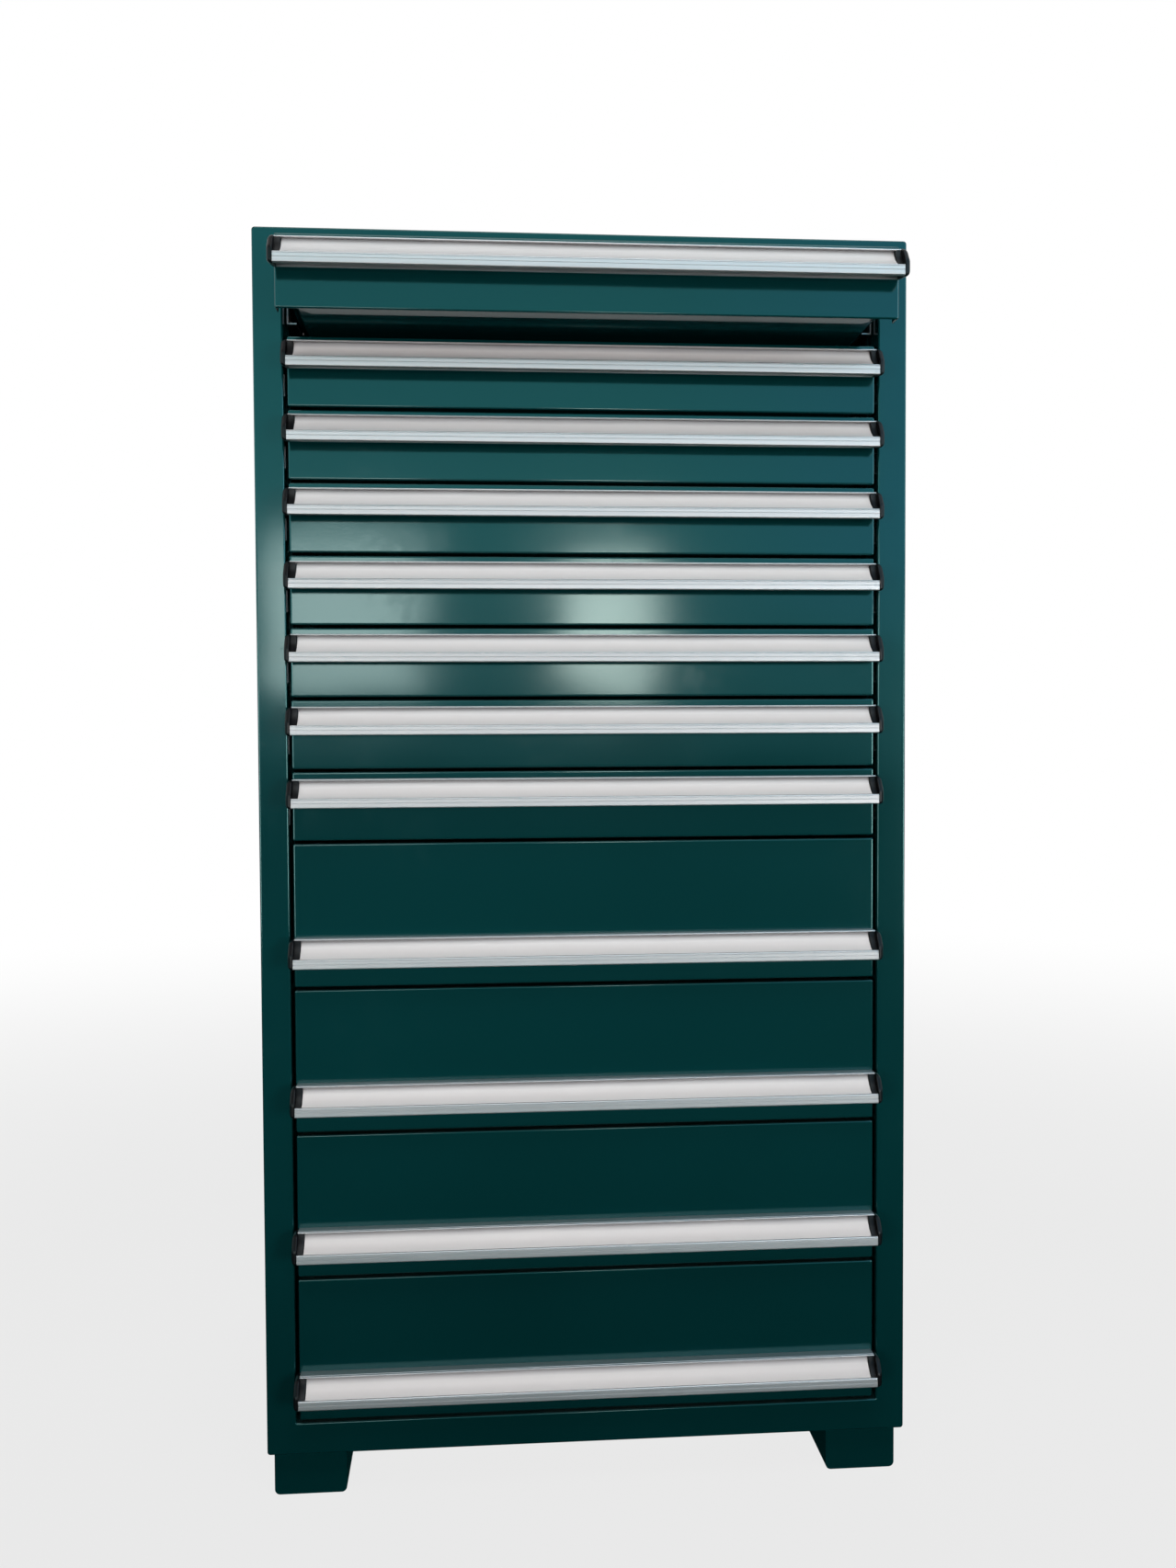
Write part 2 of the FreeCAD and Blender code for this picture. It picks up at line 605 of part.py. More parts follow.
def carriages(drawer):
    """Bar between the two rails, with two rollers in each, on both sides of the drawer."""
    tag = drawer["number"]
    centre_z = drawer["rail_floor"] + rail_height / 2
    start = drawer["carriage_start"]
    middle = start + carriage_length / 2
    parts = [block(f"carriage_bar_{tag}", (bar_inner, start, centre_z - carriage_height / 2),
                   (bar_outer, start + carriage_length, centre_z + carriage_height / 2))]
    rollers = []
    pin_length = roller_side_gap * 2 + roller_width
    places = {
        "rear_near": (bar_outer, roller_inner, 1), "rear_far": (bar_outer, roller_outer, 1),
        "front_near": (bar_inner, -roller_inner, -1), "front_far": (bar_inner, -roller_outer, -1),
    }
    for place, (bar_face, offset, way) in places.items():
        along = middle + offset
        low = bar_face if way > 0 else bar_face - pin_length
        head_low = bar_face + pin_length if way > 0 else low - pin_head
        parts.append(disc(f"roller_pin_{tag}_{place}", (low, along, centre_z), pin_radius, pin_length))
        parts.append(disc(f"pin_head_{tag}_{place}", (head_low, along, centre_z), pin_head_radius, pin_head))
        tyre_low = low + roller_side_gap
        tyre = disc(f"roller_tyre_{tag}_{place}", (tyre_low, along, centre_z), roller_radius, roller_width)
        bore = disc(f"roller_bore_{tag}_{place}", (tyre_low - OVERRUN, along, centre_z),
                    pin_radius + pin_clearance, roller_width + OVERRUN * 2)
        rollers.append(cut(f"roller_{tag}_{place}", tyre, [bore]))
    right = group(f"carriage_right_{tag}", [joined(f"carriage_frame_{tag}", parts)] + rollers)
    return group(f"drawer_{tag}_carriages", [right, mirrored(f"carriage_left_{tag}", right)])


def drawer_stack():
    """Where each drawer's front, rails, handle and carriages lie."""
    stack = []
    top = stack_top
    for index in range(SMALL_DRAWERS + LARGE_DRAWERS):
        small = index < SMALL_DRAWERS
        pitch = small_pitch if small else large_pitch
        opening = rest_opening if index == 0 else as_size(0)
        floor = top - pitch + panel_gap / 2
        stack.append({
            "number": f"{index + 1:02d}",
            "front": front - opening,
            "floor": floor,
            "top": top - panel_gap / 2,
            "rail_floor": floor + rail_level,
            "handle_floor": floor + (handle_small_level if small else handle_large_level),
            "carriage_start": front + carriage_setback - opening / 2,
        })
        top = top - pitch
    return stack


drawers = drawer_stack()
right_panel = side_panel()
right_skid = skid()
right_rails, left_rails = fixed_rails(drawers)
nodes = [
    right_panel, mirrored("left_side_panel", right_panel), top_panel(), base_panel(), back_panel(),
    right_skid, mirrored("left_skid", right_skid), skid_bolts(),
    uprights("front_uprights", upright_setback, drawers),
    uprights("rear_uprights", rear_upright_setback, drawers),
    right_rails, left_rails,
]
for drawer in drawers:
    nodes += [tray(drawer), handle(drawer), end_caps(drawer), carriages(drawer)]

doc.recompute()

# Every object must have been made, and every piece must be sound, before anything is written
for item in doc.Objects:
    if "Invalid" in item.State or "Error" in item.State:
        raise RuntimeError(f"{item.Name} could not be made: {item.State}")
for node in nodes:
    node.Label = node.Name
    if node.Shape.isNull() or not node.Shape.isValid():
        raise RuntimeError(f"{node.Label} has no sound shape")
for node in nodes:
    node.Shape.exportStep(f"parts/{node.Label}.step")

count = sum(len(node.Shape.Solids) for node in nodes)
print(f"{len(nodes)} nodes, {count} solids")
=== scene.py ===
# %% [markdown]
# # A workshop cabinet with twelve drawers
#
# The cabinet is folded sheet steel with a dark teal powder coat. Every drawer front carries an
# aluminium grip along its whole width, closed by a black plastic cap at each end. The model that
# holds the sizes and the motion is already made and comes in as a fixed frame. This notebook
# builds what the eye sees around it: the folds, the grips, the caps, the labels and the finishes.

# %% Load the frame
import math
import bmesh
import bpy
import numpy as np
from mathutils import Matrix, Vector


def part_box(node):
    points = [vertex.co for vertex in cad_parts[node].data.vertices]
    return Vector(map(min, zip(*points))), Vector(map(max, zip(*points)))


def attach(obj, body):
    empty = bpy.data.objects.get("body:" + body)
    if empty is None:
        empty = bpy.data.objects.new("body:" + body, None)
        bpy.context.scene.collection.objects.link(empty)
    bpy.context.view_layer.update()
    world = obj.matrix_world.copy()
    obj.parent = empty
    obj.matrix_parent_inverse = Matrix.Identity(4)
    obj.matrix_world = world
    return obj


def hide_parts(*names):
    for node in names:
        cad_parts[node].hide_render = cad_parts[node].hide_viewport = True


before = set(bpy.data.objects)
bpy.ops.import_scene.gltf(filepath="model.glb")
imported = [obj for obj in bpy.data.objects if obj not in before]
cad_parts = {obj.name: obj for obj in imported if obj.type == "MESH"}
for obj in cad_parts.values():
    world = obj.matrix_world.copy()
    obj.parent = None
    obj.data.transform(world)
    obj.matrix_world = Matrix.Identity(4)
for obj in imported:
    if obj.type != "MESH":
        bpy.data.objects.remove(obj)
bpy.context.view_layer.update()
MM = 0.001
DRAWERS = [f"{number:02d}" for number in range(1, 13)]
print("nodes in the frame:", len(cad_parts))

# %% [markdown]
# ## Camera
#
# The photograph was taken from a little left of the middle, at about waist height, with the lens
# turned slightly right and down. The position and the turns come from fitting a pinhole camera to
# the edges of the drawer fronts, so they are written as plain distances and angles. A camera could
# also be aimed with a Track To constraint, but a matrix of three axes keeps the small roll too.

# %% Camera
FRONT_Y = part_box("right_side_panel")[0].y
FLOOR_TO_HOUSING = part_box("right_side_panel")[0].z
PHOTO_LONG_SIDE = 1706
FOCAL_PIXELS = 1526.2
SENSOR = 36.0
CAMERA_ASIDE = -0.1205
CAMERA_BACK = 1.5457
CAMERA_HEIGHT = 0.7954
FAR_CLIP = 200
YAW, PITCH, ROLL = 0.07811, -0.03562, -0.00489


def camera_axes(yaw, pitch, roll):
    """Right, up and backward axes: yaw turns right about Z, pitch tips up, roll turns about the view."""
    ahead = np.array([math.sin(yaw) * math.cos(pitch), math.cos(yaw) * math.cos(pitch), math.sin(pitch)])
    level = np.array([math.cos(yaw), -math.sin(yaw), 0.0])
    upward = np.cross(level, ahead)
    right = math.cos(roll) * level + math.sin(roll) * upward
    up = math.cos(roll) * upward - math.sin(roll) * level
    return right, up, -ahead


def new_object(name, data):
    """An object in the scene that shows the given data."""
    item = bpy.data.objects.new(name, data)
    bpy.context.scene.collection.objects.link(item)
    return item


def set_pose(item, axes, place):
    """Puts an object at a place, with its X, Y and Z along three axes."""
    pose = np.eye(4)
    pose[:3, :3] = np.stack(axes, axis=1)
    pose[:3, 3] = place
    item.matrix_world = Matrix(pose.tolist())


camera_data = bpy.data.cameras.new("photo_camera")
camera_data.sensor_width = SENSOR
camera_data.lens = FOCAL_PIXELS / PHOTO_LONG_SIDE * SENSOR
camera_data.clip_end = FAR_CLIP
camera = new_object("photo_camera", camera_data)
camera_place = np.array([CAMERA_ASIDE, FRONT_Y - CAMERA_BACK, FLOOR_TO_HOUSING + CAMERA_HEIGHT])
set_pose(camera, camera_axes(YAW, PITCH, ROLL), camera_place)
bpy.context.scene.camera = camera
print("lens, mm:", round(camera_data.lens, 2), "camera at", camera_place.round(3))

# %% [markdown]
# ## Effects shared by several finishes
#
# A finish is more than a colour. Powder coat has a fine orange peel, aluminium shows the lines of
# the die it was pressed through, and everything that is handled carries faint marks. Each of these
# effects is one node group with named inputs, so that a material only states how much of it there is.

# %% Node group tools
def new_group(name, inputs, outputs):
    """An empty shader group. inputs maps names to defaults, and a tuple default makes a vector socket."""
    group = bpy.data.node_groups.new(name, "ShaderNodeTree")
    for label, value in inputs.items():
        kind = "NodeSocketVector" if isinstance(value, tuple) else "NodeSocketFloat"
        socket = group.interface.new_socket(label, in_out="INPUT", socket_type=kind)
        socket.default_value = value
    for label in outputs:
        group.interface.new_socket(label, in_out="OUTPUT", socket_type="NodeSocketFloat")
    return group, group.nodes.new("NodeGroupInput"), group.nodes.new("NodeGroupOutput")


def feed(tree, value, socket):
    """Links another node's output to a socket, or sets a number or a colour there."""
    if isinstance(value, bpy.types.NodeSocket):
        tree.links.new(value, socket)
    else:
        socket.default_value = (*value, 1.0) if isinstance(value, tuple) else value


def maths(tree, operation, *operands):
    """A Math node; each operand is a socket or a number."""
    node = tree.nodes.new("ShaderNodeMath")
    node.operation = operation
    for socket, value in zip(node.inputs, operands):
        feed(tree, value, socket)
    return node.outputs[0]


def noise(tree, vector, scale, detail=2.0, roughness=0.5):
    """Soft noise from 0 to 1; scale is a number or a socket, in cells to the metre."""
    node = tree.nodes.new("ShaderNodeTexNoise")
    node.inputs["Detail"].default_value = detail
    node.inputs["Roughness"].default_value = roughness
    tree.links.new(vector, node.inputs["Vector"])
    feed(tree, scale, node.inputs["Scale"])
    return node.outputs["Fac"]


def stretched(tree, vector, scale):
    """The vector with each axis multiplied by its own factor."""
    node = tree.nodes.new("ShaderNodeMapping")
    node.inputs["Scale"].default_value = scale
    tree.links.new(vector, node.inputs["Vector"])
    return node.outputs[0]


def remap(tree, value, low, high, start=0.0, end=1.0):
    """Smoothly maps low..high to start..end and holds the ends."""
    node = tree.nodes.new("ShaderNodeMapRange")
    node.interpolation_type = "SMOOTHSTEP"
    tree.links.new(value, node.inputs["Value"])
    for label, number in zip(("From Min", "From Max", "To Min", "To Max"), (low, high, start, end)):
        node.inputs[label].default_value = number
    return node.outputs[0]


# %% Orange peel and the waviness of thin sheet
PEEL_SCALE = 620.0
FINE_PEEL_SCALE = 1900.0
FINE_PEEL_SHARE = 0.35
SHEET_WAVE_SCALE = 5.0
SHEET_WAVE_STRETCH = (1.0, 1.0, 1.6)


def orange_peel_group():
    """Height = (peel + share * finer peel) * Peel + slow waves * Sheet."""
    inputs = {"Place": (0, 0, 0), "Peel": 1.0, "Sheet": 1.0}
    group, given, result = new_group("orange_peel", inputs, ["Height"])
    where = given.outputs["Place"]
    peel = noise(group, where, PEEL_SCALE, 2.0)
    fine = noise(group, where, FINE_PEEL_SCALE, 1.0)
    sheet_wave = noise(group, stretched(group, where, SHEET_WAVE_STRETCH), SHEET_WAVE_SCALE, 1.0)
    surface = maths(group, "MULTIPLY_ADD", fine, FINE_PEEL_SHARE, peel)
    surface = maths(group, "MULTIPLY", surface, given.outputs["Peel"])
    wave = maths(group, "MULTIPLY", sheet_wave, given.outputs["Sheet"])
    group.links.new(maths(group, "ADD", surface, wave), result.inputs["Height"])
    return group


# %% Handling marks
SMUDGE_SCALE = 7.0
BREAKUP_SCALE = 55.0
RUB_SCALE = 210.0
RUB_STRETCH = (0.35, 1.0, 1.0)
RUB_PATCH_SCALE = 11.0


def handling_marks_group():
    """Smudge = broad patches * fine breakup, and Rub = streaks * patches, both times Amount."""
    inputs = {"Place": (0, 0, 0), "Amount": 1.0}
    group, given, result = new_group("handling_marks", inputs, ["Smudge", "Rub"])
    where, amount = given.outputs["Place"], given.outputs["Amount"]
    broad = remap(group, noise(group, where, SMUDGE_SCALE, 3.0), 0.5, 0.72)
    breakup = remap(group, noise(group, where, BREAKUP_SCALE, 4.0, 0.65), 0.42, 0.62)
    smudge = maths(group, "MULTIPLY", maths(group, "MULTIPLY", broad, breakup), amount)
    long_way = stretched(group, where, RUB_STRETCH)
    streaks = remap(group, noise(group, long_way, RUB_SCALE, 3.0, 0.6), 0.66, 0.74)
    patches = remap(group, noise(group, where, RUB_PATCH_SCALE, 1.0), 0.58, 0.7)
    rub = maths(group, "MULTIPLY", maths(group, "MULTIPLY", streaks, patches), amount)
    group.links.new(smudge, result.inputs["Smudge"])
    group.links.new(rub, result.inputs["Rub"])
    return group


# %% Streaks left by a die or a rolling mill
NARROW_STREAKS = (1.5, 900.0, 900.0)
BROAD_STREAKS = (0.6, 160.0, 160.0)


def drawn_lines_group():
    """Line and Tone are noise squeezed across X: Line into hairlines, Tone into broader bands."""
    inputs = {"Place": (0, 0, 0), "Fineness": 1.0}
    group, given, result = new_group("drawn_lines", inputs, ["Line", "Tone"])
    narrow = stretched(group, given.outputs["Place"], NARROW_STREAKS)
    broad = stretched(group, given.outputs["Place"], BROAD_STREAKS)
    group.links.new(noise(group, narrow, given.outputs["Fineness"], 3.0, 0.6), result.inputs["Line"])
    group.links.new(noise(group, broad, given.outputs["Fineness"], 2.0), result.inputs["Tone"])
    return group


# %% Dust
DUST_SLOPE = (0.6, 0.95)
DUST_PATCH_SCALE = 24.0


def dust_group():
    """Dust = how squarely the face looks up * patches * Amount."""
    group, given, result = new_group("dust", {"Place": (0, 0, 0), "Amount": 1.0}, ["Dust"])
    geometry = group.nodes.new("ShaderNodeNewGeometry")
    split = group.nodes.new("ShaderNodeSeparateXYZ")
    group.links.new(geometry.outputs["True Normal"], split.inputs[0])
    facing = remap(group, split.outputs["Z"], *DUST_SLOPE)
    patches = noise(group, given.outputs["Place"], DUST_PATCH_SCALE, 5.0, 0.6)
    patches = remap(group, patches, 0.3, 0.75, 0.35, 1.0)
    dust = maths(group, "MULTIPLY", maths(group, "MULTIPLY", facing, patches), given.outputs["Amount"])
    group.links.new(dust, result.inputs["Dust"])
    return group


ORANGE_PEEL = orange_peel_group()
HANDLING_MARKS = handling_marks_group()
DRAWN_LINES = drawn_lines_group()
DUST = dust_group()
print("effects:", [group.name for group in bpy.data.node_groups])

# %% [markdown]
# ## Finishes
#
# Powder coat over steel is a dielectric: a deep teal colour under a glossy skin. The grips are
# anodised aluminium, a metal with a satin surface. The caps are moulded plastic, the slides are zinc
# plated steel on nylon rollers, and the labels are pale card. Each could be one plain colour, but slow
# changes of tone and roughness are what make a surface look real up close.

# %% Material tools
def new_finish(name):
    """A material with a Principled BSDF and Object coordinates."""
    material = bpy.data.materials.new(name)
    material.use_nodes = True
    tree = material.node_tree
    shader = tree.nodes["Principled BSDF"]
    where = tree.nodes.new("ShaderNodeTexCoord").outputs["Object"]
    return material, tree, shader, where


def use_group(tree, group, where, **values):
    """Places a shared effect in a material with its own values, and returns the effect's outputs."""
    node = tree.nodes.new("ShaderNodeGroup")
    node.node_tree = group
    tree.links.new(where, node.inputs["Place"])
    for label, number in values.items():
        node.inputs[label].default_value = number
    return node.outputs


def blend_colours(tree, factor, first, second):
    """Mixes two colours; each is a socket or three numbers."""
    node = tree.nodes.new("ShaderNodeMix")
    node.data_type = "RGBA"
    tree.links.new(factor, node.inputs["Factor"])
    for label, colour in (("A", first), ("B", second)):
        socket = next(item for item in node.inputs if item.name == label and item.type == "RGBA")
        feed(tree, colour, socket)
    return next(item for item in node.outputs if item.type == "RGBA")


def ramp(tree, value, stops):
    """A colour that changes evenly between stops; each stop is a position from 0 to 1 and a colour."""
    node = tree.nodes.new("ShaderNodeValToRGB")
    band = node.color_ramp.elements
    while len(band) < len(stops):
        band.new(0.5)
    for element, (place, colour) in zip(band, sorted(stops)):
        element.position = place
        element.color = (*colour, 1.0)
    tree.links.new(value, node.inputs[0])
    return node.outputs["Color"]


def bump(tree, shader, height, distance):
    """Tilts the shader's normal as if the surface rose by height * distance, in metres."""
    node = tree.nodes.new("ShaderNodeBump")
    node.inputs["Distance"].default_value = distance
    node.inputs["Strength"].default_value = 1.0
    tree.links.new(height, node.inputs["Height"])
    tree.links.new(node.outputs["Normal"], shader.inputs["Normal"])


# %% Teal powder coat
TEAL = (0.0004, 0.0262, 0.0280)
TEAL_PALE = (0.0005, 0.0292, 0.0315)
TEAL_GLOSS = (0.50, 1.0, 1.0)
DUST_COLOUR = (0.20, 0.21, 0.20)
COAT_DUST = 0.10
COAT_ROUGHNESS = 0.11
COAT_SPECULAR = 0.75
COAT_PEEL = 0.012
COAT_BUMP = 0.0009


def powder_coat():
    """Teal in two close tones; smudges, rubs and dust each make the gloss duller."""
    material, tree, shader, where = new_finish("teal_powder_coat")
    tone = remap(tree, noise(tree, where, 3.0, 2.0), 0.3, 0.7)
    marks = use_group(tree, HANDLING_MARKS, where, Amount=1.0)
    dust = use_group(tree, DUST, where, Amount=COAT_DUST)["Dust"]
    colour = blend_colours(tree, tone, TEAL, TEAL_PALE)
    colour = blend_colours(tree, dust, colour, DUST_COLOUR)
    tree.links.new(colour, shader.inputs["Base Color"])
    rough = maths(tree, "MULTIPLY_ADD", marks["Smudge"], 0.05, COAT_ROUGHNESS)
    rough = maths(tree, "MULTIPLY_ADD", marks["Rub"], 0.10, rough)
    rough = maths(tree, "MULTIPLY_ADD", dust, 0.4, rough)
    tree.links.new(rough, shader.inputs["Roughness"])
    shader.inputs["Specular IOR Level"].default_value = COAT_SPECULAR
    shader.inputs["Specular Tint"].default_value = (*TEAL_GLOSS, 1.0)
    height = use_group(tree, ORANGE_PEEL, where, Peel=COAT_PEEL, Sheet=1.0)["Height"]
    bump(tree, shader, height, COAT_BUMP)
    return material


# %% Anodised aluminium
ALUMINIUM_TONES = ((0.50, 0.475, 0.475), (0.56, 0.535, 0.535))
ALUMINIUM_ROUGHNESS = 0.46
ALUMINIUM_BUMP = 0.00004


def anodised_aluminium():
    """A satin metal whose tone and roughness follow the die's lines."""
    material, tree, shader, where = new_finish("anodised_aluminium")
    lines = use_group(tree, DRAWN_LINES, where, Fineness=1.0)
    marks = use_group(tree, HANDLING_MARKS, where, Amount=0.8)
    tone = remap(tree, lines["Tone"], 0.3, 0.7)
    tree.links.new(blend_colours(tree, tone, *ALUMINIUM_TONES), shader.inputs["Base Color"])
    rough = maths(tree, "MULTIPLY_ADD", lines["Line"], 0.10, ALUMINIUM_ROUGHNESS)
    rough = maths(tree, "MULTIPLY_ADD", marks["Smudge"], 0.08, rough)
    tree.links.new(rough, shader.inputs["Roughness"])
    shader.inputs["Metallic"].default_value = 1.0
    bump(tree, shader, lines["Line"], ALUMINIUM_BUMP)
    return material


# %% Black plastic
PLASTIC_TONES = ((0.0024, 0.0024, 0.0032), (0.0040, 0.0040, 0.0050))
PLASTIC_ROUGHNESS = 0.36
PLASTIC_SPECULAR = 0.20
PLASTIC_GRAIN = 2600.0
PLASTIC_BUMP = 0.00005


def black_plastic():
    """Near black with a fine moulded grain, duller where hands have smudged it."""
    material, tree, shader, where = new_finish("black_plastic")
    marks = use_group(tree, HANDLING_MARKS, where, Amount=1.0)
    tone = remap(tree, noise(tree, where, 60.0, 3.0), 0.35, 0.7)
    tree.links.new(blend_colours(tree, tone, *PLASTIC_TONES), shader.inputs["Base Color"])
    rough = maths(tree, "MULTIPLY_ADD", marks["Smudge"], 0.12, PLASTIC_ROUGHNESS)
    tree.links.new(rough, shader.inputs["Roughness"])
    shader.inputs["Specular IOR Level"].default_value = PLASTIC_SPECULAR
    bump(tree, shader, noise(tree, where, PLASTIC_GRAIN, 2.0), PLASTIC_BUMP)
    return material


# %% Zinc plate, and the carriages' nylon rollers
ZINC_TONES = ((0.26, 0.27, 0.29), (0.38, 0.39, 0.40))
ZINC_CRYSTALS = 140.0
ZINC_ROUGHNESS = 0.30
ZINC_BUMP = 0.00003
NYLON = (0.62, 0.61, 0.57)
NYLON_ROUGHNESS = 0.45
BAR_INSET = 0.0088
BAR_HALF = 0.0014


def zinc_plate(name, rollers=False):
    """Bluish plate with a faint crystal pattern; with rollers, what lies beside the bar is nylon.

    Off the bar means that the distance of |x| from the bar's middle is more than BAR_HALF.
    """
    material, tree, shader, where = new_finish(name)
    crystals = tree.nodes.new("ShaderNodeTexVoronoi")
    crystals.inputs["Scale"].default_value = ZINC_CRYSTALS
    tree.links.new(where, crystals.inputs["Vector"])
    grey = tree.nodes.new("ShaderNodeRGBToBW")
    tree.links.new(crystals.outputs["Color"], grey.inputs[0])
    lines = use_group(tree, DRAWN_LINES, where, Fineness=0.6)
    tone = maths(tree, "MULTIPLY_ADD", grey.outputs[0], 0.5, maths(tree, "MULTIPLY", lines["Tone"], 0.5))
    colour = blend_colours(tree, tone, *ZINC_TONES)
    rough = maths(tree, "MULTIPLY_ADD", tone, 0.16, ZINC_ROUGHNESS)
    if rollers:
        split = tree.nodes.new("ShaderNodeSeparateXYZ")
        tree.links.new(where, split.inputs[0])
        aside = maths(tree, "ABSOLUTE", split.outputs["X"])
        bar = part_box("drawer_02_carriages")[1].x - BAR_INSET
        from_bar = maths(tree, "ABSOLUTE", maths(tree, "SUBTRACT", aside, bar))
        off_bar = maths(tree, "GREATER_THAN", from_bar, BAR_HALF)
        colour = blend_colours(tree, off_bar, colour, NYLON)
        rough = maths(tree, "MAXIMUM", rough, maths(tree, "MULTIPLY", off_bar, NYLON_ROUGHNESS))
        tree.links.new(maths(tree, "SUBTRACT", 1.0, off_bar), shader.inputs["Metallic"])
    else:
        shader.inputs["Metallic"].default_value = 1.0
    tree.links.new(colour, shader.inputs["Base Color"])
    tree.links.new(rough, shader.inputs["Roughness"])
    bump(tree, shader, lines["Line"], ZINC_BUMP)
    return material


# %% Label card, with painted shade that greys it towards the flange
# Pale card colour low on the strip; higher up, painted shade that greys it towards the flange.
LABEL_TONES_AND_PAINTED_SHADE = [(0.00, (0.85, 0.86, 0.87)), (0.38, (0.85, 0.86, 0.87)), (0.62, (0.80, 0.82, 0.83)),
               (0.86, (0.44, 0.46, 0.48)), (1.00, (0.22, 0.24, 0.25))]
LABEL_RISE = "rise"
FIBRE_TONE = (0.70, 0.70, 0.70)
FIBRE_SCALE = 900.0
FIBRE_STRETCH = (1.0, 1.0, 2.5)
FIBRE_BUMP = 0.00002
SHADE_EDGE_WAVE_SCALE = 9.0
SHADE_EDGE_WAVE = 0.10


def label_card():
    """Tone by the rise that each label stores in its points: painted shade greys the card towards the
    flange, and slow noise makes the shade's edge uneven.
    """
    material, tree, shader, where = new_finish("label_card")
    fibres = noise(tree, stretched(tree, where, FIBRE_STRETCH), FIBRE_SCALE, 3.0, 0.6)
    stored = tree.nodes.new("ShaderNodeAttribute")
    stored.attribute_name = LABEL_RISE
    # Slow noise moves the edge of the painted shade up and down.
    wave = noise(tree, where, SHADE_EDGE_WAVE_SCALE, 2.0)
    uneven = maths(tree, "MULTIPLY_ADD", wave, SHADE_EDGE_WAVE, stored.outputs["Fac"])
    colour = ramp(tree, maths(tree, "SUBTRACT", uneven, SHADE_EDGE_WAVE / 2), LABEL_TONES_AND_PAINTED_SHADE)
    colour = blend_colours(tree, remap(tree, fibres, 0.45, 0.9, 0.0, 0.20), colour, FIBRE_TONE)
    tree.links.new(colour, shader.inputs["Base Color"])
    tree.links.new(remap(tree, fibres, 0.3, 0.7, 0.34, 0.42), shader.inputs["Roughness"])
    bump(tree, shader, fibres, FIBRE_BUMP)
    return material


PAINT = powder_coat()
ALUMINIUM = anodised_aluminium()
PLASTIC = black_plastic()
ZINC = zinc_plate("zinc_plate")
CARRIAGE = zinc_plate("zinc_plate_and_nylon", rollers=True)
CARD = label_card()
print("finishes:", [material.name for material in (PAINT, ALUMINIUM, PLASTIC, ZINC, CARRIAGE, CARD)])

# %% [markdown]
# ## Shape tools
#
# Sheet metal and extrusions are the same idea twice: a section carried along a path. The section's
# corners are rounded by a formula, because a sharp corner catches no light and looks computed. The
# section could be drawn as a curve object and given a bevel, but an array of points is easier to tie
# to real sizes.

# %% Rounding the corners of a section
SHARP = 0.01


def rounded(corners, radii, steps=5):
    """Each corner of a closed outline becomes an arc that touches both its edges.

    The arc starts at the corner plus radius / tan(half the inside angle) along one edge, and runs
    round a centre on the bisector. Its points are a spherical blend of the first and last radius.
    """
    corners = np.asarray(corners, float)
    radii = np.asarray(radii, float)[:, None]
    before = np.roll(corners, 1, axis=0) - corners
    after = np.roll(corners, -1, axis=0) - corners
    before /= np.linalg.norm(before, axis=1, keepdims=True)
    after /= np.linalg.norm(after, axis=1, keepdims=True)
    half = np.arccos(np.clip((before * after).sum(1, keepdims=True), -1, 1)) / 2
    bisector = before + after
    bisector /= np.linalg.norm(bisector, axis=1, keepdims=True)
    centre = corners + bisector * radii / np.sin(half)
    first = corners + before * radii / np.tan(half) - centre
    last = corners + after * radii / np.tan(half) - centre
    turn = (math.pi - 2 * half)[:, None]
    share = np.linspace(0, 1, steps)[None, :, None]
    arcs = np.sin((1 - share) * turn) * first[:, None] + np.sin(share * turn) * last[:, None]
    return (centre[:, None] + arcs / np.sin(turn)).reshape(-1, 2)


# %% Turning arrays into a piece
def grid_faces(rows, columns, wrap_rows=False, wrap_columns=False):
    """Quads of a grid whose point (row, column) has the index row * columns + column."""
    row = np.arange(rows if wrap_rows else rows - 1)[:, None]
    column = np.arange(columns if wrap_columns else columns - 1)[None, :]
    next_row = (row + 1) % rows
    next_column = (column + 1) % columns
    quads = np.stack([row * columns + column, row * columns + next_column,
                      next_row * columns + next_column, next_row * columns + column], axis=-1)
    return quads.reshape(-1, 4)


def tube_faces(rings, count):
    """Quads between closed rings of count points, and one polygon over the first and the last ring."""
    ends = [list(range(count)), list(range(count * (rings - 1), count * rings))]
    return grid_faces(rings, count, wrap_columns=True).tolist() + ends


def merged(parts):
    """Joins several (points, faces) pairs into one."""
    points, faces, count = [], [], 0
    for part_points, part_faces in parts:
        points.append(part_points)
        faces += [[index + count for index in face] for face in part_faces]
        count += len(part_points)
    return np.concatenate(points), faces


def box_mm(node):
    """Lowest and highest corner of a node, in millimetres."""
    return [np.array(corner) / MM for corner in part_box(node)]


WELD_DISTANCE = 1e-6
TINY = 1e-9


def add_piece(name, shape, finish, body, nodes=(), smooth_angle=40):
    """A mesh in millimetres becomes a piece in metres that rides on a body and stands for CAD nodes."""
    points, faces = shape
    mesh = bpy.data.meshes.new(name)
    mesh.from_pydata((np.asarray(points) * MM).tolist(), [], faces)
    tidy = bmesh.new()
    tidy.from_mesh(mesh)
    bmesh.ops.remove_doubles(tidy, verts=tidy.verts, dist=WELD_DISTANCE)
    bmesh.ops.recalc_face_normals(tidy, faces=tidy.faces)
    tidy.to_mesh(mesh)
    tidy.free()
    corners = np.zeros(len(mesh.polygons), int)
    mesh.polygons.foreach_get("loop_total", corners)
    mesh.polygons.foreach_set("use_smooth", corners <= 4)
    mesh.set_sharp_from_angle(angle=math.radians(smooth_angle))
    mesh.materials.append(finish)
    piece = new_object(name, mesh)
    shading = piece.modifiers.new("flat_faces_stay_flat", "WEIGHTED_NORMAL")
    shading.keep_sharp = True
    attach(piece, body)
    for node in nodes:
        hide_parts(node)
    return piece


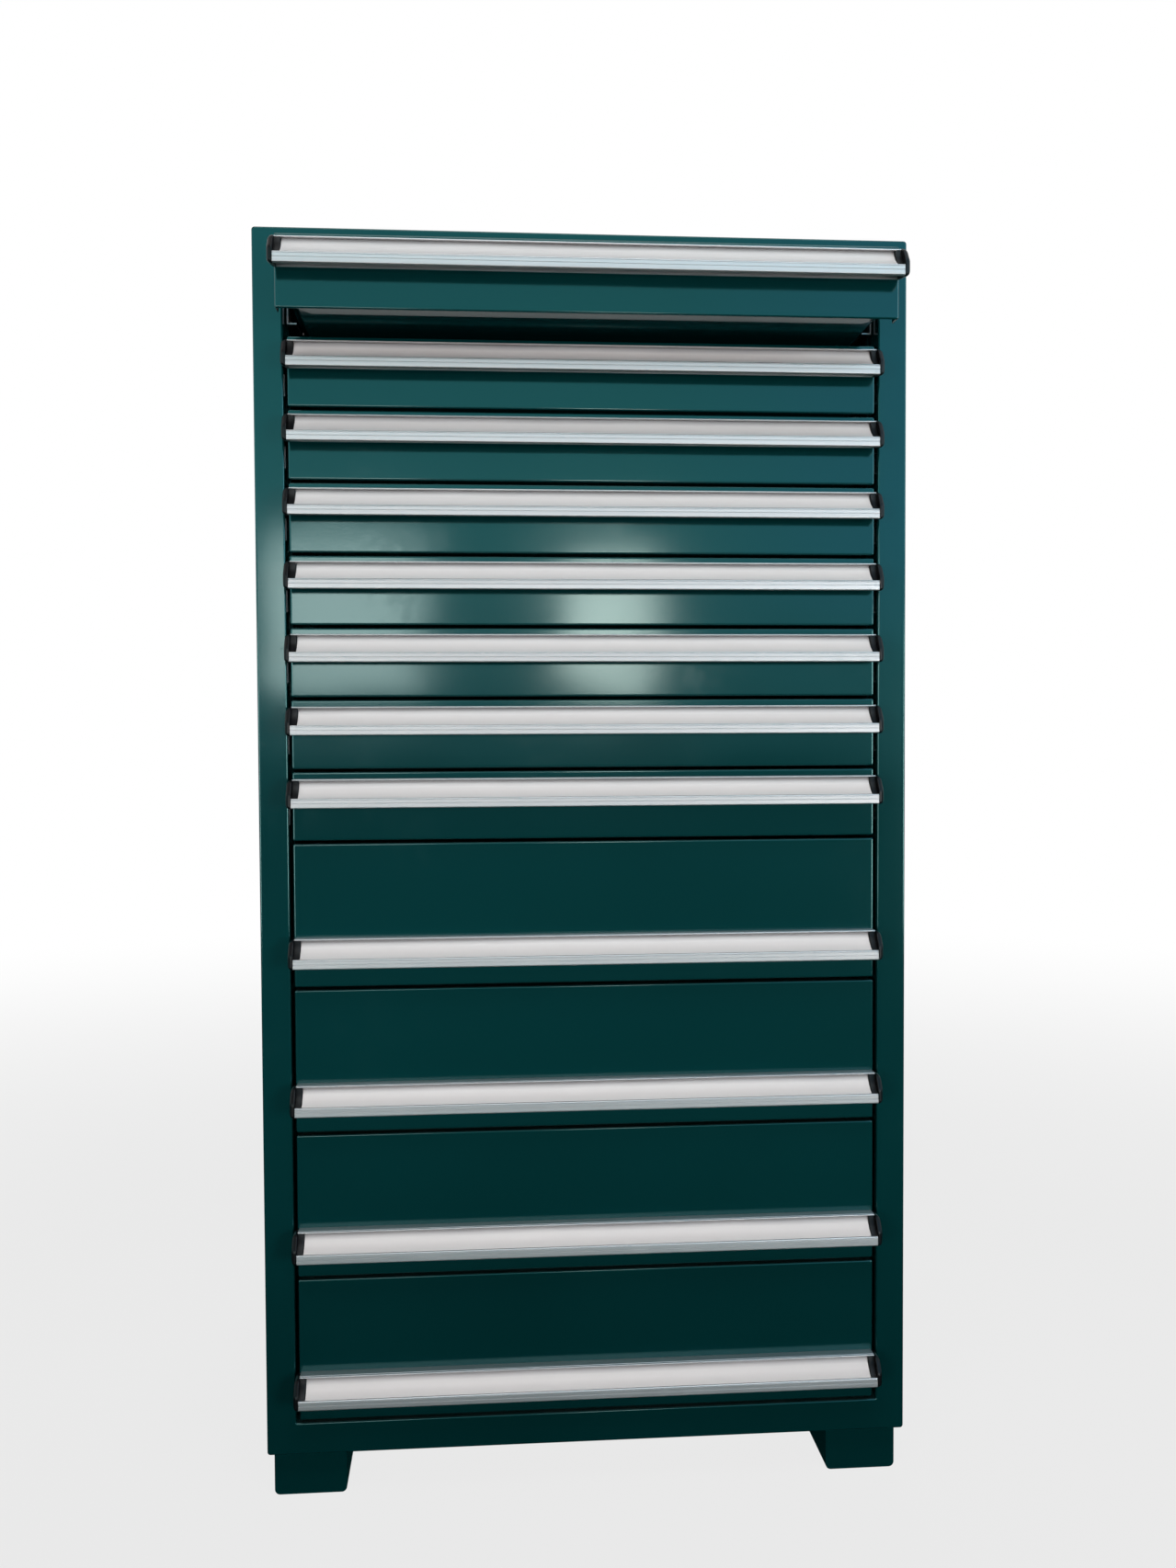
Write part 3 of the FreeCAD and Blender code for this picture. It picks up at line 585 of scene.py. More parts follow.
def extruded(section, start, end, place, edge=0.3):
    """Carries a closed section from start to end, with both ends drawn in a little at the rim.

    place(u, v, w) puts section point (u, v) at distance w in the world. The end rings move along the
    section's inward normal by edge and back by the same amount, which chamfers the cut.
    """
    section = np.asarray(section, float)
    along = np.roll(section, -1, axis=0) - np.roll(section, 1, axis=0)
    along /= np.maximum(np.linalg.norm(along, axis=1, keepdims=True), TINY)
    across, up = section.T
    area = 0.5 * np.sum(across * np.roll(up, -1) - np.roll(across, -1) * up)
    inward = np.stack([-along[:, 1], along[:, 0]], axis=1) * np.sign(area)
    drawn = section + inward * edge
    rings = [(drawn, start), (section, start + edge), (section, end - edge), (drawn, end)]
    points = np.concatenate([place(*ring.T, where) for ring, where in rings])
    return points, tube_faces(len(rings), len(section))


def columns(x, y, z):
    """Rows of x, y and z, from arrays or numbers whose shapes fit each other."""
    return np.stack(np.broadcast_arrays(x, y, z), axis=-1).reshape(-1, 3)


# %% Outline of a rectangle with rounded corners
def outline(half_across, half_along, radius, sides=(0, 1, 2, 3), stations=(), steps=4):
    """Rows of corner (x, y), the corner's way out (x, y) and the facing (x, y) along chosen sides.

    Side 0 is the top, and the rest follow clockwise. Each side runs from the middle of one corner's
    arc to the middle of the next, while the facing turns through 90 degrees. stations are extra
    places along the straight part of side 2, the bottom.
    """
    rows = []
    for side in sides:
        ahead = math.pi / 2 * (1 - side)
        for lean in (1, -1):
            out = np.sign([math.cos(ahead + lean * math.pi / 4), math.sin(ahead + lean * math.pi / 4)])
            turn = ahead + lean * np.linspace(math.pi / 4, 0, steps)[::lean]
            corner = np.tile(np.concatenate([out * (half_across, half_along), out]), (steps, 1))
            rows.append(np.column_stack([corner, np.cos(turn), np.sin(turn)]))
            if side == 2 and lean == 1 and len(stations):
                rows.append(np.array([[place, -half_along, 0, -1, 0, -1] for place in stations], float))
    return np.concatenate(rows), radius


def drawn_in(path, inset):
    """Points of an outline moved inwards; a negative inset moves them outwards.

    point = corner - way out * max(radius, inset) + facing * max(radius - inset, 0): the corner's arc
    shrinks until it is sharp, and from then on the sharp corner moves.
    """
    rows, radius = path
    corner, out, facing = rows[:, None, 0:2], rows[:, None, 2:4], rows[:, None, 4:6]
    inset = np.asarray(inset, float)[..., None]
    return corner - out * np.maximum(radius, inset) + facing * np.maximum(radius - inset, 0)


# %% [markdown]
# ## Housing
#
# The housing is one welded carcass of four folded sheets: two sides, a top and a base. Seen from the
# front each sheet turns in from the side of the cabinet, runs flat as a post or a band, and turns
# back into the cabinet at the drawer opening. Between neighbours the weld is ground flat on the
# mitre, so no seam shows. The section of such a sheet is a closed strip, carried along its side of
# the rectangle between the opening's outline and the cabinet's outline.

# %% Housing sheets
SHEET = 1.5
BEND = 2.0
POST_RETURN = 30.0
BAND_RETURN = 20.0
BACK_FLANGE = 24.0
OUTER_CORNER = 3.5
OPENING_CORNER = 1.0
BEND_POINTS = 6

side_low, side_high = box_mm("right_side_panel")
top_low, top_high = box_mm("top_panel")
post_inner, front, under = side_low
depth = side_high[1] - front
half_width = side_high[0]
roof = top_high[2]
opening = (box_mm("base_panel")[1][2], top_low[2])


def carcass_section(sheet, bend):
    """Closed strip of a sheet from the return at the opening, over the face, to the back flange.

    Columns: share (0 at the opening's outline, 1 at the outer outline), offset from that outline,
    depth behind the front, and 1 where the depth is measured from the end of the return.
    """
    inner_bend = bend - sheet
    quarter = np.linspace(0, math.pi / 2, BEND_POINTS)
    sine, cosine = np.sin(quarter), np.cos(quarter)

    def arc(share, offset, back):
        return np.column_stack([np.full(BEND_POINTS, share), offset, back, np.zeros(BEND_POINTS)])

    skin = [arc(0, bend - bend * cosine, bend - bend * sine),
            arc(1, bend - bend * sine, bend - bend * cosine),
            arc(1, bend - bend * cosine, depth - bend + bend * sine)]
    lining = [arc(1, bend - inner_bend * sine, depth - bend + inner_bend * cosine),
              arc(1, bend - inner_bend * cosine, bend - inner_bend * sine),
              arc(0, bend - inner_bend * sine, bend - inner_bend * cosine)]
    start = np.array([[0, 0, 0, 1.0]])
    flange = np.array([[1, BACK_FLANGE, depth, 0], [1, BACK_FLANGE, depth - sheet, 0.0]])
    finish = np.array([[0, sheet, 0, 1.0]])
    return np.concatenate([start] + skin + [flange] + lining + [finish])


def carcass_sheet(side, turned):
    """One of the four sheets, carried from mitre to mitre."""
    inner = outline(post_inner, (opening[1] - opening[0]) / 2, OPENING_CORNER, [side])
    outer = outline(half_width, (roof - under) / 2, OUTER_CORNER, [side])
    share, offset, back, at_end = carcass_section(SHEET, BEND).T
    near_opening = drawn_in(inner, -offset) + (0, sum(opening) / 2)
    near_outside = drawn_in(outer, offset) + (0, (under + roof) / 2)
    flat = near_opening * (1 - share[:, None]) + near_outside * share[:, None]
    points = columns(flat[..., 0], front + (back + at_end * turned), flat[..., 1])
    return points, tube_faces(*flat.shape[:2])


for side, node, turned in ((0, "top_panel", BAND_RETURN), (1, "right_side_panel", POST_RETURN),
                           (2, "base_panel", BAND_RETURN), (3, "left_side_panel", POST_RETURN)):
    add_piece(node + "_sheet", carcass_sheet(side, turned), PAINT, "housing", [node])
print("opening, mm:", np.round(opening, 1), "posts from", round(post_inner, 1))

# %% [markdown]
# The back panel is a flat sheet between the side flanges' edges. Only its cut edge needs care, so
# it is a rounded rectangle carried through the sheet's thickness.

# %% Back panel
BACK_CORNER = 3.0


def back_panel():
    """A rectangle with rounded corners, carried along Y through the sheet."""
    low, high = box_mm("back_panel")
    section = rounded([(low[0], low[2]), (high[0], low[2]), (high[0], high[2]), (low[0], high[2])],
                      [BACK_CORNER] * 4)
    return extruded(section, low[1], high[1], lambda u, v, w: columns(u, w, v))


back = add_piece("back_panel_sheet", back_panel(), PAINT, "housing", ["back_panel"])
print("back panel points:", len(back.data.vertices))

# %% [markdown]
# ## Drawers
#
# A drawer front is a shallow pan: a flat face whose four edges are folded back. Its section is a
# strip that starts inside the face, follows the lining to the end of the return, turns round the cut
# edge and comes back along the skin. Carried round the face's outline it leaves two holes, inside and
# outside, and one flat polygon closes each of them. The tray behind it is made by the same function.

# %% Folded pans
PAN_FLAT = 0.6
PAN_CUT = 0.35
DRAWN_FOLD = 50.0
BEND_STEPS = 5


def pan_section(sheet, bend, rim=None):
    """Half section of a pan: inset from the outline, depth, and 1 where depth is measured from the edge.

    It is drawn with a fold of DRAWN_FOLD, and what lies past the fold's middle moves with the real
    edge. rim is the thickness and the height of an edge that is folded over.
    """
    lead, fold = bend + PAN_FLAT, DRAWN_FOLD
    if rim is None:
        corners = [(lead, sheet), (sheet, sheet), (sheet, fold), (0, fold), (0, 0), (lead, 0)]
        radii = [SHARP, bend - sheet, PAN_CUT, PAN_CUT, bend, SHARP]
    else:
        thick, tall = rim
        corners = [(lead, sheet), (sheet, sheet), (sheet, fold - tall), (thick, fold - tall),
                   (thick, fold), (0, fold), (0, 0), (lead, 0)]
        radii = [SHARP, bend - sheet, 0.2, 0.3, 0.8, 0.8, bend, SHARP]
    strip = rounded(corners, radii, BEND_STEPS)[BEND_STEPS - 1:1 - BEND_STEPS]
    at_end = (strip[:, 1] > fold / 2).astype(float)
    return strip[:, 0], strip[:, 1] - fold * at_end, at_end


def pan(half_across, half_along, corner, section, turned, place, stations=()):
    """The pan as a closed solid. turned(points) is the depth of the return at each outline point."""
    path = outline(half_across, half_along, corner, stations=stations)
    inset, back, at_end = section
    flat = drawn_in(path, inset)
    behind = back + at_end * turned(drawn_in(path, [0.0])[:, 0])[:, None]
    rows, count = behind.shape
    faces = grid_faces(rows, count, wrap_rows=True).tolist()
    faces += [list(range(0, rows * count, count)), list(range(count - 1, rows * count, count))]
    return place(flat[..., 0], flat[..., 1], behind), faces


# %% Drawer fronts
PAN_SHEET = 1.5
PAN_BEND = 1.65
PAN_CORNER = 2.0
PAN_RETURN = 20.0
LOWER_RETURN_INSET = 22.5
LOWER_RETURN_MITRE = 12.0
LEAST_RETURN = PAN_BEND + 0.5
SIDE_MARGIN = 0.4


def drawer_front(number):
    """A pan whose bottom return grows on a slant from LEAST_RETURN, near the ends, to its full depth."""
    low, high = box_mm(f"drawer_{number}_tray")
    half_across = high[0]
    half_along = (high[2] - low[2]) / 2
    long_end = half_across - LOWER_RETURN_INSET
    short_end = long_end - LOWER_RETURN_MITRE

    def turned(path):
        aside = np.abs(path[:, 0])
        bottom = (path[:, 1] < PAN_CORNER - half_along) & (aside < half_across - SIDE_MARGIN)
        slant = (long_end - aside) / LOWER_RETURN_MITRE * PAN_RETURN
        return np.where(bottom, np.clip(slant, LEAST_RETURN, PAN_RETURN), PAN_RETURN)

    stations = [long_end, short_end, -short_end, -long_end]
    middle = (high[2] + low[2]) / 2
    return pan(half_across, half_along, PAN_CORNER, pan_section(PAN_SHEET, PAN_BEND), turned,
               lambda u, v, w: columns(u, low[1] + w, middle + v), stations)


def add_to_drawers(name, make, finish, node=None, smooth_angle=40):
    """Makes the same piece for every drawer, riding on it and standing for one of its nodes."""
    pieces = []
    for number in DRAWERS:
        body = f"drawer_{number}"
        nodes = [f"{body}_{node}"] if node else []
        pieces.append(add_piece(f"{body}_{name}", make(number), finish, body, nodes, smooth_angle))
    return pieces


fronts = add_to_drawers("front", drawer_front, PAINT, "tray")
print("drawer fronts:", len(fronts))

# %% [markdown]
# The tray is the same kind of pan lying on its back, with the rim folded over so that it doesn't cut
# the hand. A channel on each side, open outwards, runs on the carriage's rollers.

# %% Trays and their rails
TRAY_SHEET = 1.2
TRAY_BEND = 2.0
TRAY_CORNER = 2.5
TRAY_LIFT = 4.0
TRAY_HEADROOM = 10.6
TRAY_RIM = (2.6, 8.0)
RAIL_SETBACK = 24.0
RAIL_LENGTH = 590.0
RAIL_LEVEL = 16.0
RAIL_HEIGHT = 24.0
RAIL_SHEET = 1.5
RAIL_DEPTH = 9.5
RAIL_BEND = 2.0
RAIL_CUT = 0.3
RAIL_INNER = 0.6
TRAY_HALF = 302.0


def tray(number):
    """A pan open upwards, behind the front, and a channel section carried along Y on each side."""
    low, high = box_mm(f"drawer_{number}_tray")
    start = low[1] + PAN_SHEET
    half_along = (high[1] - start) / 2
    tall = high[2] - low[2] - TRAY_HEADROOM - TRAY_LIFT
    shell = pan(TRAY_HALF, half_along, TRAY_CORNER, pan_section(TRAY_SHEET, TRAY_BEND, TRAY_RIM),
                lambda path: np.full(len(path), tall),
                lambda u, v, w: columns(u, start + half_along + v, low[2] + TRAY_LIFT + w))
    floor = low[2] + RAIL_LEVEL
    web, edge, sheet = TRAY_HALF, TRAY_HALF + RAIL_DEPTH, RAIL_SHEET
    half = [(web, 0), (edge, 0), (edge, sheet), (web + sheet, sheet)]
    radii = [RAIL_BEND, RAIL_CUT, RAIL_CUT, RAIL_INNER]
    section = rounded(half + [(x, RAIL_HEIGHT - z) for x, z in half[::-1]], radii + radii[::-1])
    first, last = low[1] + RAIL_SETBACK, low[1] + RAIL_SETBACK + RAIL_LENGTH
    rails = [extruded(section * (sign, 1), first, last, lambda u, v, w: columns(u, w, floor + v))
             for sign in (1, -1)]
    return merged([shell] + rails)


trays = add_to_drawers("tray_and_rails", tray, PAINT, "tray")
print("trays:", len(trays))

# %% [markdown]
# ## Grips
#
# The grip is one extrusion. A flange on top shades a slanted, slightly hollow face for the label,
# and below it a lip juts out for the fingers, open behind. The lip's front has fine grooves that
# hold the thumb. All of that is in one section, so the grip is the section carried along X.

# %% Grip section
GRIP_HEIGHT = 31.0
GRIP_REACH = 29.5
GRIP_WALL = 1.8
FLANGE_REACH = 15.0
LABEL_TOP_REACH = 10.5
LABEL_FOOT_REACH = 20.5
LIP_HEIGHT = 10.8
LIP_CURL = 5.5
BACK_WALL_DROP = 27.0
LABEL_HOLLOW = 2.4
FLANGE_NOSE = 0.85
GROOVE_DEPTH = 0.5
GROOVE_HALF = 0.4
GROOVES = (9.1, 5.3)
FLANGE_GROOVE = (3.4, 2.4)
FLANGE_GROOVE_SLANT = 0.3
FLANGE_GROOVE_DEPTH = 0.35
FACE_POINTS = 9
GRIP_EDGE = 0.15


def bowed_line(start, end, count, bow, lift=0.0):
    """Points of a straight line, bowed to its inner side by a sine and then moved out by lift."""
    share = np.linspace(0, 1, count)[:, None]
    run = np.subtract(end, start)
    outward = np.array([-run[1], run[0]]) / np.linalg.norm(run)
    return start + run * share - outward * (bow * np.sin(math.pi * share) - lift)


def label_curve(count, lift=0.0):
    """The label face from top to foot."""
    return bowed_line((LABEL_TOP_REACH, GRIP_HEIGHT - GRIP_WALL), (LABEL_FOOT_REACH, LIP_HEIGHT),
                      count, LABEL_HOLLOW, lift)


def grip_section():
    """Closed outline of the extrusion: reach from the drawer front, height above the lip's bottom."""
    top, nose, reach, wall = GRIP_HEIGHT, FLANGE_REACH, GRIP_REACH, GRIP_WALL
    far, near = (nose - back for back in FLANGE_GROOVE)
    floor = top - FLANGE_GROOVE_DEPTH
    corners = [(0, top), (far, top), (far + FLANGE_GROOVE_SLANT, floor),
               (near - FLANGE_GROOVE_SLANT, floor), (near, top), (nose, top), (nose, top - wall)]
    radii = [0.2, 0.1, 0.1, 0.1, 0.1, FLANGE_NOSE, FLANGE_NOSE]
    corners += label_curve(FACE_POINTS).tolist() + [(reach, LIP_HEIGHT)]
    radii += [0.4] + [SHARP] * (FACE_POINTS - 2) + [0.4, 1.0]
    for level in GROOVES:
        corners += [(reach, level + GROOVE_HALF), (reach - GROOVE_DEPTH, level + GROOVE_HALF / 2),
                    (reach - GROOVE_DEPTH, level - GROOVE_HALF / 2), (reach, level - GROOVE_HALF)]
        radii += [0.12, 0.08, 0.08, 0.12]
    corners += [(reach, 0), (reach - LIP_CURL, 0), (reach - LIP_CURL, wall), (reach - wall, wall),
                (reach - wall, LIP_HEIGHT - wall), (LABEL_FOOT_REACH - wall, LIP_HEIGHT - wall)]
    radii += [1.2, 0.7, 0.7, 0.6, 0.6, 0.6]
    lining = label_curve(FACE_POINTS, -wall)[2:-1][::-1]
    corners += lining.tolist() + [(LABEL_TOP_REACH - wall, top - wall * 2)]
    radii += [SHARP] * len(lining) + [0.2]
    corners += [(wall, top - wall * 2), (wall, top - BACK_WALL_DROP), (0, top - BACK_WALL_DROP)]
    radii += [0.6, 0.5, 0.3]
    return rounded(corners, radii, 4)


def grip_place(number):
    """Where section points go for one drawer: reach runs towards -Y from the drawer front."""
    low, high = box_mm(f"drawer_{number}_handle")
    return (lambda u, v, w: columns(w, high[1] - u, low[2] + v)), high[0]


def grip(number):
    """The section carried along X for the grip's whole length."""
    place_grip, grip_half = grip_place(number)
    return extruded(grip_section(), -grip_half, grip_half, place_grip, GRIP_EDGE)


grips = add_to_drawers("grip", grip, ALUMINIUM, "handle", 30)
print("grips:", len(grips), "section points:", len(grip_section()))

# %% [markdown]
# The label is a pale strip that fills the hollow: its back lies on the hollow face and on the ledge
# behind the lip, and its front sweeps from under the flange to just behind the lip's edge. It stops
# short of the caps' plugs and is bare. Every point stores how far up the strip it is, and the card's
# finish reads that to paint shade on the card, darkest under the flange.

# %% Label strips
LABEL_GAP = 0.15
LABEL_TUCK = 0.5
LABEL_SETBACK = 1.6
LABEL_SWEEP = 2.0
LABEL_END_GAP = 0.4
LABEL_EDGE = 0.05
LABEL_POINTS = 15
CAP_PLUG = 7.0


def label_strip(number):
    """A wedge carried along X: a bowed face, a flat foot on the ledge, and a back on the label face."""
    place_grip, grip_half = grip_place(number)
    face = bowed_line((LABEL_TOP_REACH + LABEL_TUCK, GRIP_HEIGHT - GRIP_WALL - LABEL_GAP),
                      (GRIP_REACH - LABEL_SETBACK, LIP_HEIGHT + LABEL_GAP), LABEL_POINTS, LABEL_SWEEP)
    back = label_curve(LABEL_POINTS - 2, LABEL_GAP)[1:-1][::-1]
    section = np.concatenate([face, [(LABEL_FOOT_REACH + LABEL_GAP * 2, LIP_HEIGHT + LABEL_GAP)], back])
    reach = grip_half - CAP_PLUG - LABEL_END_GAP
    return extruded(section, -reach, reach, place_grip, LABEL_EDGE)


def store_rise(piece):
    """rise = (height - lowest) / (highest - lowest) at each point."""
    places = np.zeros(len(piece.data.vertices) * 3)
    piece.data.vertices.foreach_get("co", places)
    heights = places[2::3]
    rise = piece.data.attributes.new(LABEL_RISE, "FLOAT", "POINT")
    rise.data.foreach_set("value", (heights - heights.min()) / np.ptp(heights))


labels = add_to_drawers("label", label_strip, CARD, smooth_angle=30)
for label in labels:
    store_rise(label)
print("labels:", len(labels))

# %% [markdown]
# ## End caps
#
# A cap is a plate with the grip's own outline, swollen a little and domed, and a plug that closes
# the end of the label face. The dome is a stack of the same outline, shrunk towards its middle while
# it rises as a quarter ellipse.

# %% Caps
CAP_PLATE = 5.9
CAP_OVERHANG = 0.5
CAP_DROP = 0.5
CAP_SHOULDER = 4.5
CAP_DOME = 5.0
CAP_SHRINK = 0.32
CAP_RIM = 0.3
CAP_RIM_SCALE = 0.985
CAP_CROWN_SCALE = 0.4
CAP_CROWN_START = 0.94
PLUG_GAP = 0.2
PLUG_HOLLOW = 1.8
PLUG_SETBACK = 0.4
PLUG_FOOT = 0.6
PLUG_BITE = 0.5
PLUG_EDGE = 0.7


def cap_outline():
    """The grip's outline without its hollows, swollen by the overhang, with large rounded shoulders."""
    top = GRIP_HEIGHT - CAP_DROP
    nose = GRIP_REACH + CAP_OVERHANG
    shoulder = FLANGE_REACH + CAP_SHOULDER
    return rounded([(0, top), (shoulder, top), (nose, LIP_HEIGHT + CAP_SHOULDER), (nose, -CAP_OVERHANG),
                    (nose - LIP_CURL, -CAP_OVERHANG), (0, GRIP_HEIGHT - BACK_WALL_DROP)],
                   [1.5, 9.0, 9.0, 3.2, 3.0, 1.5], 8)


def cap_plate(place, grip_half, sign):
    """Rings of the outline: a rim, a dome scaled by 1 - CAP_SHRINK * (1 - cosine), and a crown."""
    shape = cap_outline()
    middle = shape.mean(axis=0)
    rise = np.linspace(0, math.pi / 2, 7)
    shrink = 1 - CAP_SHRINK * (1 - np.cos(rise))
    shrink = np.concatenate([[CAP_RIM_SCALE, 1.0], shrink, [CAP_CROWN_SCALE]])
    dome = CAP_PLATE - CAP_DOME + CAP_DOME * np.sin(rise) * CAP_CROWN_START
    out = np.concatenate([[0.0, CAP_RIM], dome, [CAP_PLATE]])
    rings = middle + (shape - middle)[None] * shrink[:, None, None]
    points = place(rings[..., 0], rings[..., 1], sign * (grip_half + out)[:, None])
    return points, tube_faces(*rings.shape[:2])


def cap_plug(place, grip_half, sign):
    """Block in the hollow between the flange and the lip.

    Its back follows the label face, and its front is a straight line from the lip up to the flange,
    bowed inwards by a sine.
    """
    low = np.array([GRIP_REACH - LIP_CURL / 2, LIP_HEIGHT + PLUG_GAP])
    high = np.array([FLANGE_REACH - PLUG_SETBACK, GRIP_HEIGHT - GRIP_WALL - PLUG_GAP])
    back = label_curve(FACE_POINTS, PLUG_GAP)[1:-1]
    share = np.linspace(0, 1, FACE_POINTS)[:, None]
    front_line = low + (high - low) * share - PLUG_HOLLOW * np.sin(math.pi * share) * (1, 0)
    section = np.concatenate([[(LABEL_TOP_REACH + PLUG_SETBACK, high[1])], back,
                              [(LABEL_FOOT_REACH + PLUG_FOOT, low[1])], front_line])
    ends = sorted((sign * (grip_half - CAP_PLUG), sign * (grip_half + PLUG_BITE)))
    return extruded(section, *ends, place, PLUG_EDGE)


def caps(number):
    """Plate and plug at both ends of one grip."""
    place_grip, grip_half = grip_place(number)
    return merged([make(place_grip, grip_half, sign) for sign in (-1, 1) for make in (cap_plate, cap_plug)])


cap_pairs = add_to_drawers("caps", caps, PLASTIC, "end_caps", 50)
print("pairs of caps:", len(cap_pairs))

# %% [markdown]
# ## Pieces whose modelled shape is already right
#
# The skids, the uprights, the rails, the bolts and the carriages keep the frame's own meshes and only
# need their finish.

# %% Finishes on the frame's own meshes
coats = {node: PAINT for node in ("left_skid", "right_skid", "front_uprights", "rear_uprights")}
coats |= {node: ZINC for node in ("left_fixed_rails", "right_fixed_rails", "skid_bolts")}
coats |= {f"drawer_{number}_carriages": CARRIAGE for number in DRAWERS}
for node, finish in coats.items():
    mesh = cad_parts[node].data
    mesh.materials.clear()
    mesh.materials.append(finish)
print("nodes that keep their own shape:", len(coats))

# %% [markdown]
# ## Floor
#
# The floor is plain and pale, and wholly white far away. In the gloss of the drawer fronts a white
# floor would wash out the paint. So Light Path tells the rays apart: the camera sees the pale floor
# with its shadow, and gloss sees a glowing, teal-tinted floor instead, a painted reflection with
# painted shade that is darkest next to the cabinet.

# %% Floor
FLOOR_SIZE = 60.0


def seen_directly(tree):
    """Two masks: 1 for the camera's own rays, and 1 for what gloss and glass show."""
    path = tree.nodes.new("ShaderNodeLightPath")
    mirrored = maths(tree, "MAXIMUM", path.outputs["Is Glossy Ray"], path.outputs["Is Transmission Ray"])
    return path.outputs["Is Camera Ray"], mirrored


FLOOR_TONES = ((0.19, 0.19, 0.19), (0.22, 0.22, 0.22))
FLOOR_FADE = (0.9, 4.5, 0.80, 1.0)
WHITE = (1.0, 1.0, 1.0)
FLOOR_RAMP = 6.0
# Tones that gloss sees by distance from the middle: a painted reflection, teal-tinted, with painted shade
# near the cabinet.
FLOOR_PAINTED_IN_GLOSS = [(0.05, (0.00, 0.01, 0.01)), (0.14, (0.01, 0.03, 0.03)), (0.30, (0.03, 0.16, 0.17)),
                    (0.75, (0.05, 0.20, 0.21))]


def pale_floor():
    """Mostly plain white to the eye, and wholly white far away, so that no horizon shows. In gloss it is a
    painted reflection: a teal-tinted glow, darkest near the cabinet.
    """
    material, tree, shader, where = new_finish("pale_floor")
    patches = remap(tree, noise(tree, where, 2.0, 3.0), 0.3, 0.7)
    tree.links.new(blend_colours(tree, patches, *FLOOR_TONES), shader.inputs["Base Color"])
    shader.inputs["Roughness"].default_value = 0.9
    shader.inputs["Specular IOR Level"].default_value = 0.1
    reach = tree.nodes.new("ShaderNodeVectorMath")
    reach.operation = "LENGTH"
    tree.links.new(where, reach.inputs[0])
    to_eye, to_mirror = seen_directly(tree)
    share = maths(tree, "MULTIPLY", to_eye, remap(tree, reach.outputs["Value"], *FLOOR_FADE))
    mirrored = ramp(tree, maths(tree, "DIVIDE", reach.outputs["Value"], FLOOR_RAMP), FLOOR_PAINTED_IN_GLOSS)
    glow = tree.nodes.new("ShaderNodeEmission")
    tree.links.new(blend_colours(tree, to_eye, mirrored, WHITE), glow.inputs["Color"])
    mix = tree.nodes.new("ShaderNodeMixShader")
    tree.links.new(maths(tree, "MAXIMUM", share, to_mirror), mix.inputs[0])
    tree.links.new(shader.outputs[0], mix.inputs[1])
    tree.links.new(glow.outputs[0], mix.inputs[2])
    tree.links.new(mix.outputs[0], tree.nodes["Material Output"].inputs["Surface"])
    return material


floor_mesh = bpy.data.meshes.new("floor")
floor_corners = [(-1, -1, 0), (1, -1, 0), (1, 1, 0), (-1, 1, 0)]
floor_mesh.from_pydata((np.array(floor_corners) * FLOOR_SIZE).tolist(), [], [(0, 1, 2, 3)])
floor_mesh.materials.append(pale_floor())
new_object("floor", floor_mesh)
print("floor, m:", FLOOR_SIZE * 2)

# %% [markdown]
# ## World
#
# The world is white to the camera and almost dark as a lamp. In gloss it has a tone that changes with
# height, bluer to the right and pale behind the cabinet. A panorama picture would do too, but a ramp
# is enough for sheet steel.

# %% World
ROOM_IN_MIRRORS = [(0.50, (0.26, 0.58, 0.63)), (0.575, (0.40, 1.06, 1.13)), (0.675, (0.35, 0.96, 1.04)),
                   (0.80, (0.24, 0.24, 0.24)), (1.00, (0.24, 0.24, 0.24))]
RIGHT_IN_MIRRORS = (0.42, 1.00, 1.40)
BEHIND_IN_MIRRORS = (0.90, 0.90, 0.90)
ROOM_LIGHT = (0.94, 0.97, 1.0, 1)
ROOM_LIGHT_STRENGTH = 0.05
RIGHT_SIDE = (0.10, 0.34)
RIGHT_SIDE_HEIGHT = (0.52, 0.56)
TURN_TO_BACK = (-0.15, 0.15)

world = bpy.data.worlds.new("room")
bpy.context.scene.world = world
world.use_nodes = True
sky = world.node_tree
room_light = sky.nodes["Background"]
room_light.inputs["Color"].default_value = ROOM_LIGHT
room_light.inputs["Strength"].default_value = ROOM_LIGHT_STRENGTH
ahead = sky.nodes.new("ShaderNodeSeparateXYZ")
sky.links.new(sky.nodes.new("ShaderNodeTexCoord").outputs["Generated"], ahead.inputs[0])
to_eye, to_mirror = seen_directly(sky)
height = maths(sky, "MULTIPLY_ADD", ahead.outputs["Z"], 0.5, 0.5)
walls = ramp(sky, height, ROOM_IN_MIRRORS)
right_hand = maths(sky, "MULTIPLY", remap(sky, ahead.outputs["X"], *RIGHT_SIDE),
                   remap(sky, height, *RIGHT_SIDE_HEIGHT))
room = blend_colours(sky, right_hand, walls, RIGHT_IN_MIRRORS)
tone = blend_colours(sky, remap(sky, ahead.outputs["Y"], *TURN_TO_BACK), room, BEHIND_IN_MIRRORS)
backdrop = sky.nodes.new("ShaderNodeBackground")
sky.links.new(blend_colours(sky, to_eye, tone, WHITE), backdrop.inputs["Color"])
sky_mix = sky.nodes.new("ShaderNodeMixShader")
sky.links.new(maths(sky, "MAXIMUM", to_eye, to_mirror), sky_mix.inputs[0])
sky.links.new(room_light.outputs[0], sky_mix.inputs[1])
sky.links.new(backdrop.outputs[0], sky_mix.inputs[2])
sky.links.new(sky_mix.outputs[0], sky.nodes["World Output"].inputs["Surface"])
print("world nodes:", len(sky.nodes))

# %% [markdown]
# ## Lamps
#
# Wide lamps keep the shadows soft. Two stand low in front and light the grips, two weak ones stand
# high at the sides, one hangs high in front, and one fills in the back. Two small ones stand behind
# the camera, and their mirror images are the pale patches on the middle drawers.

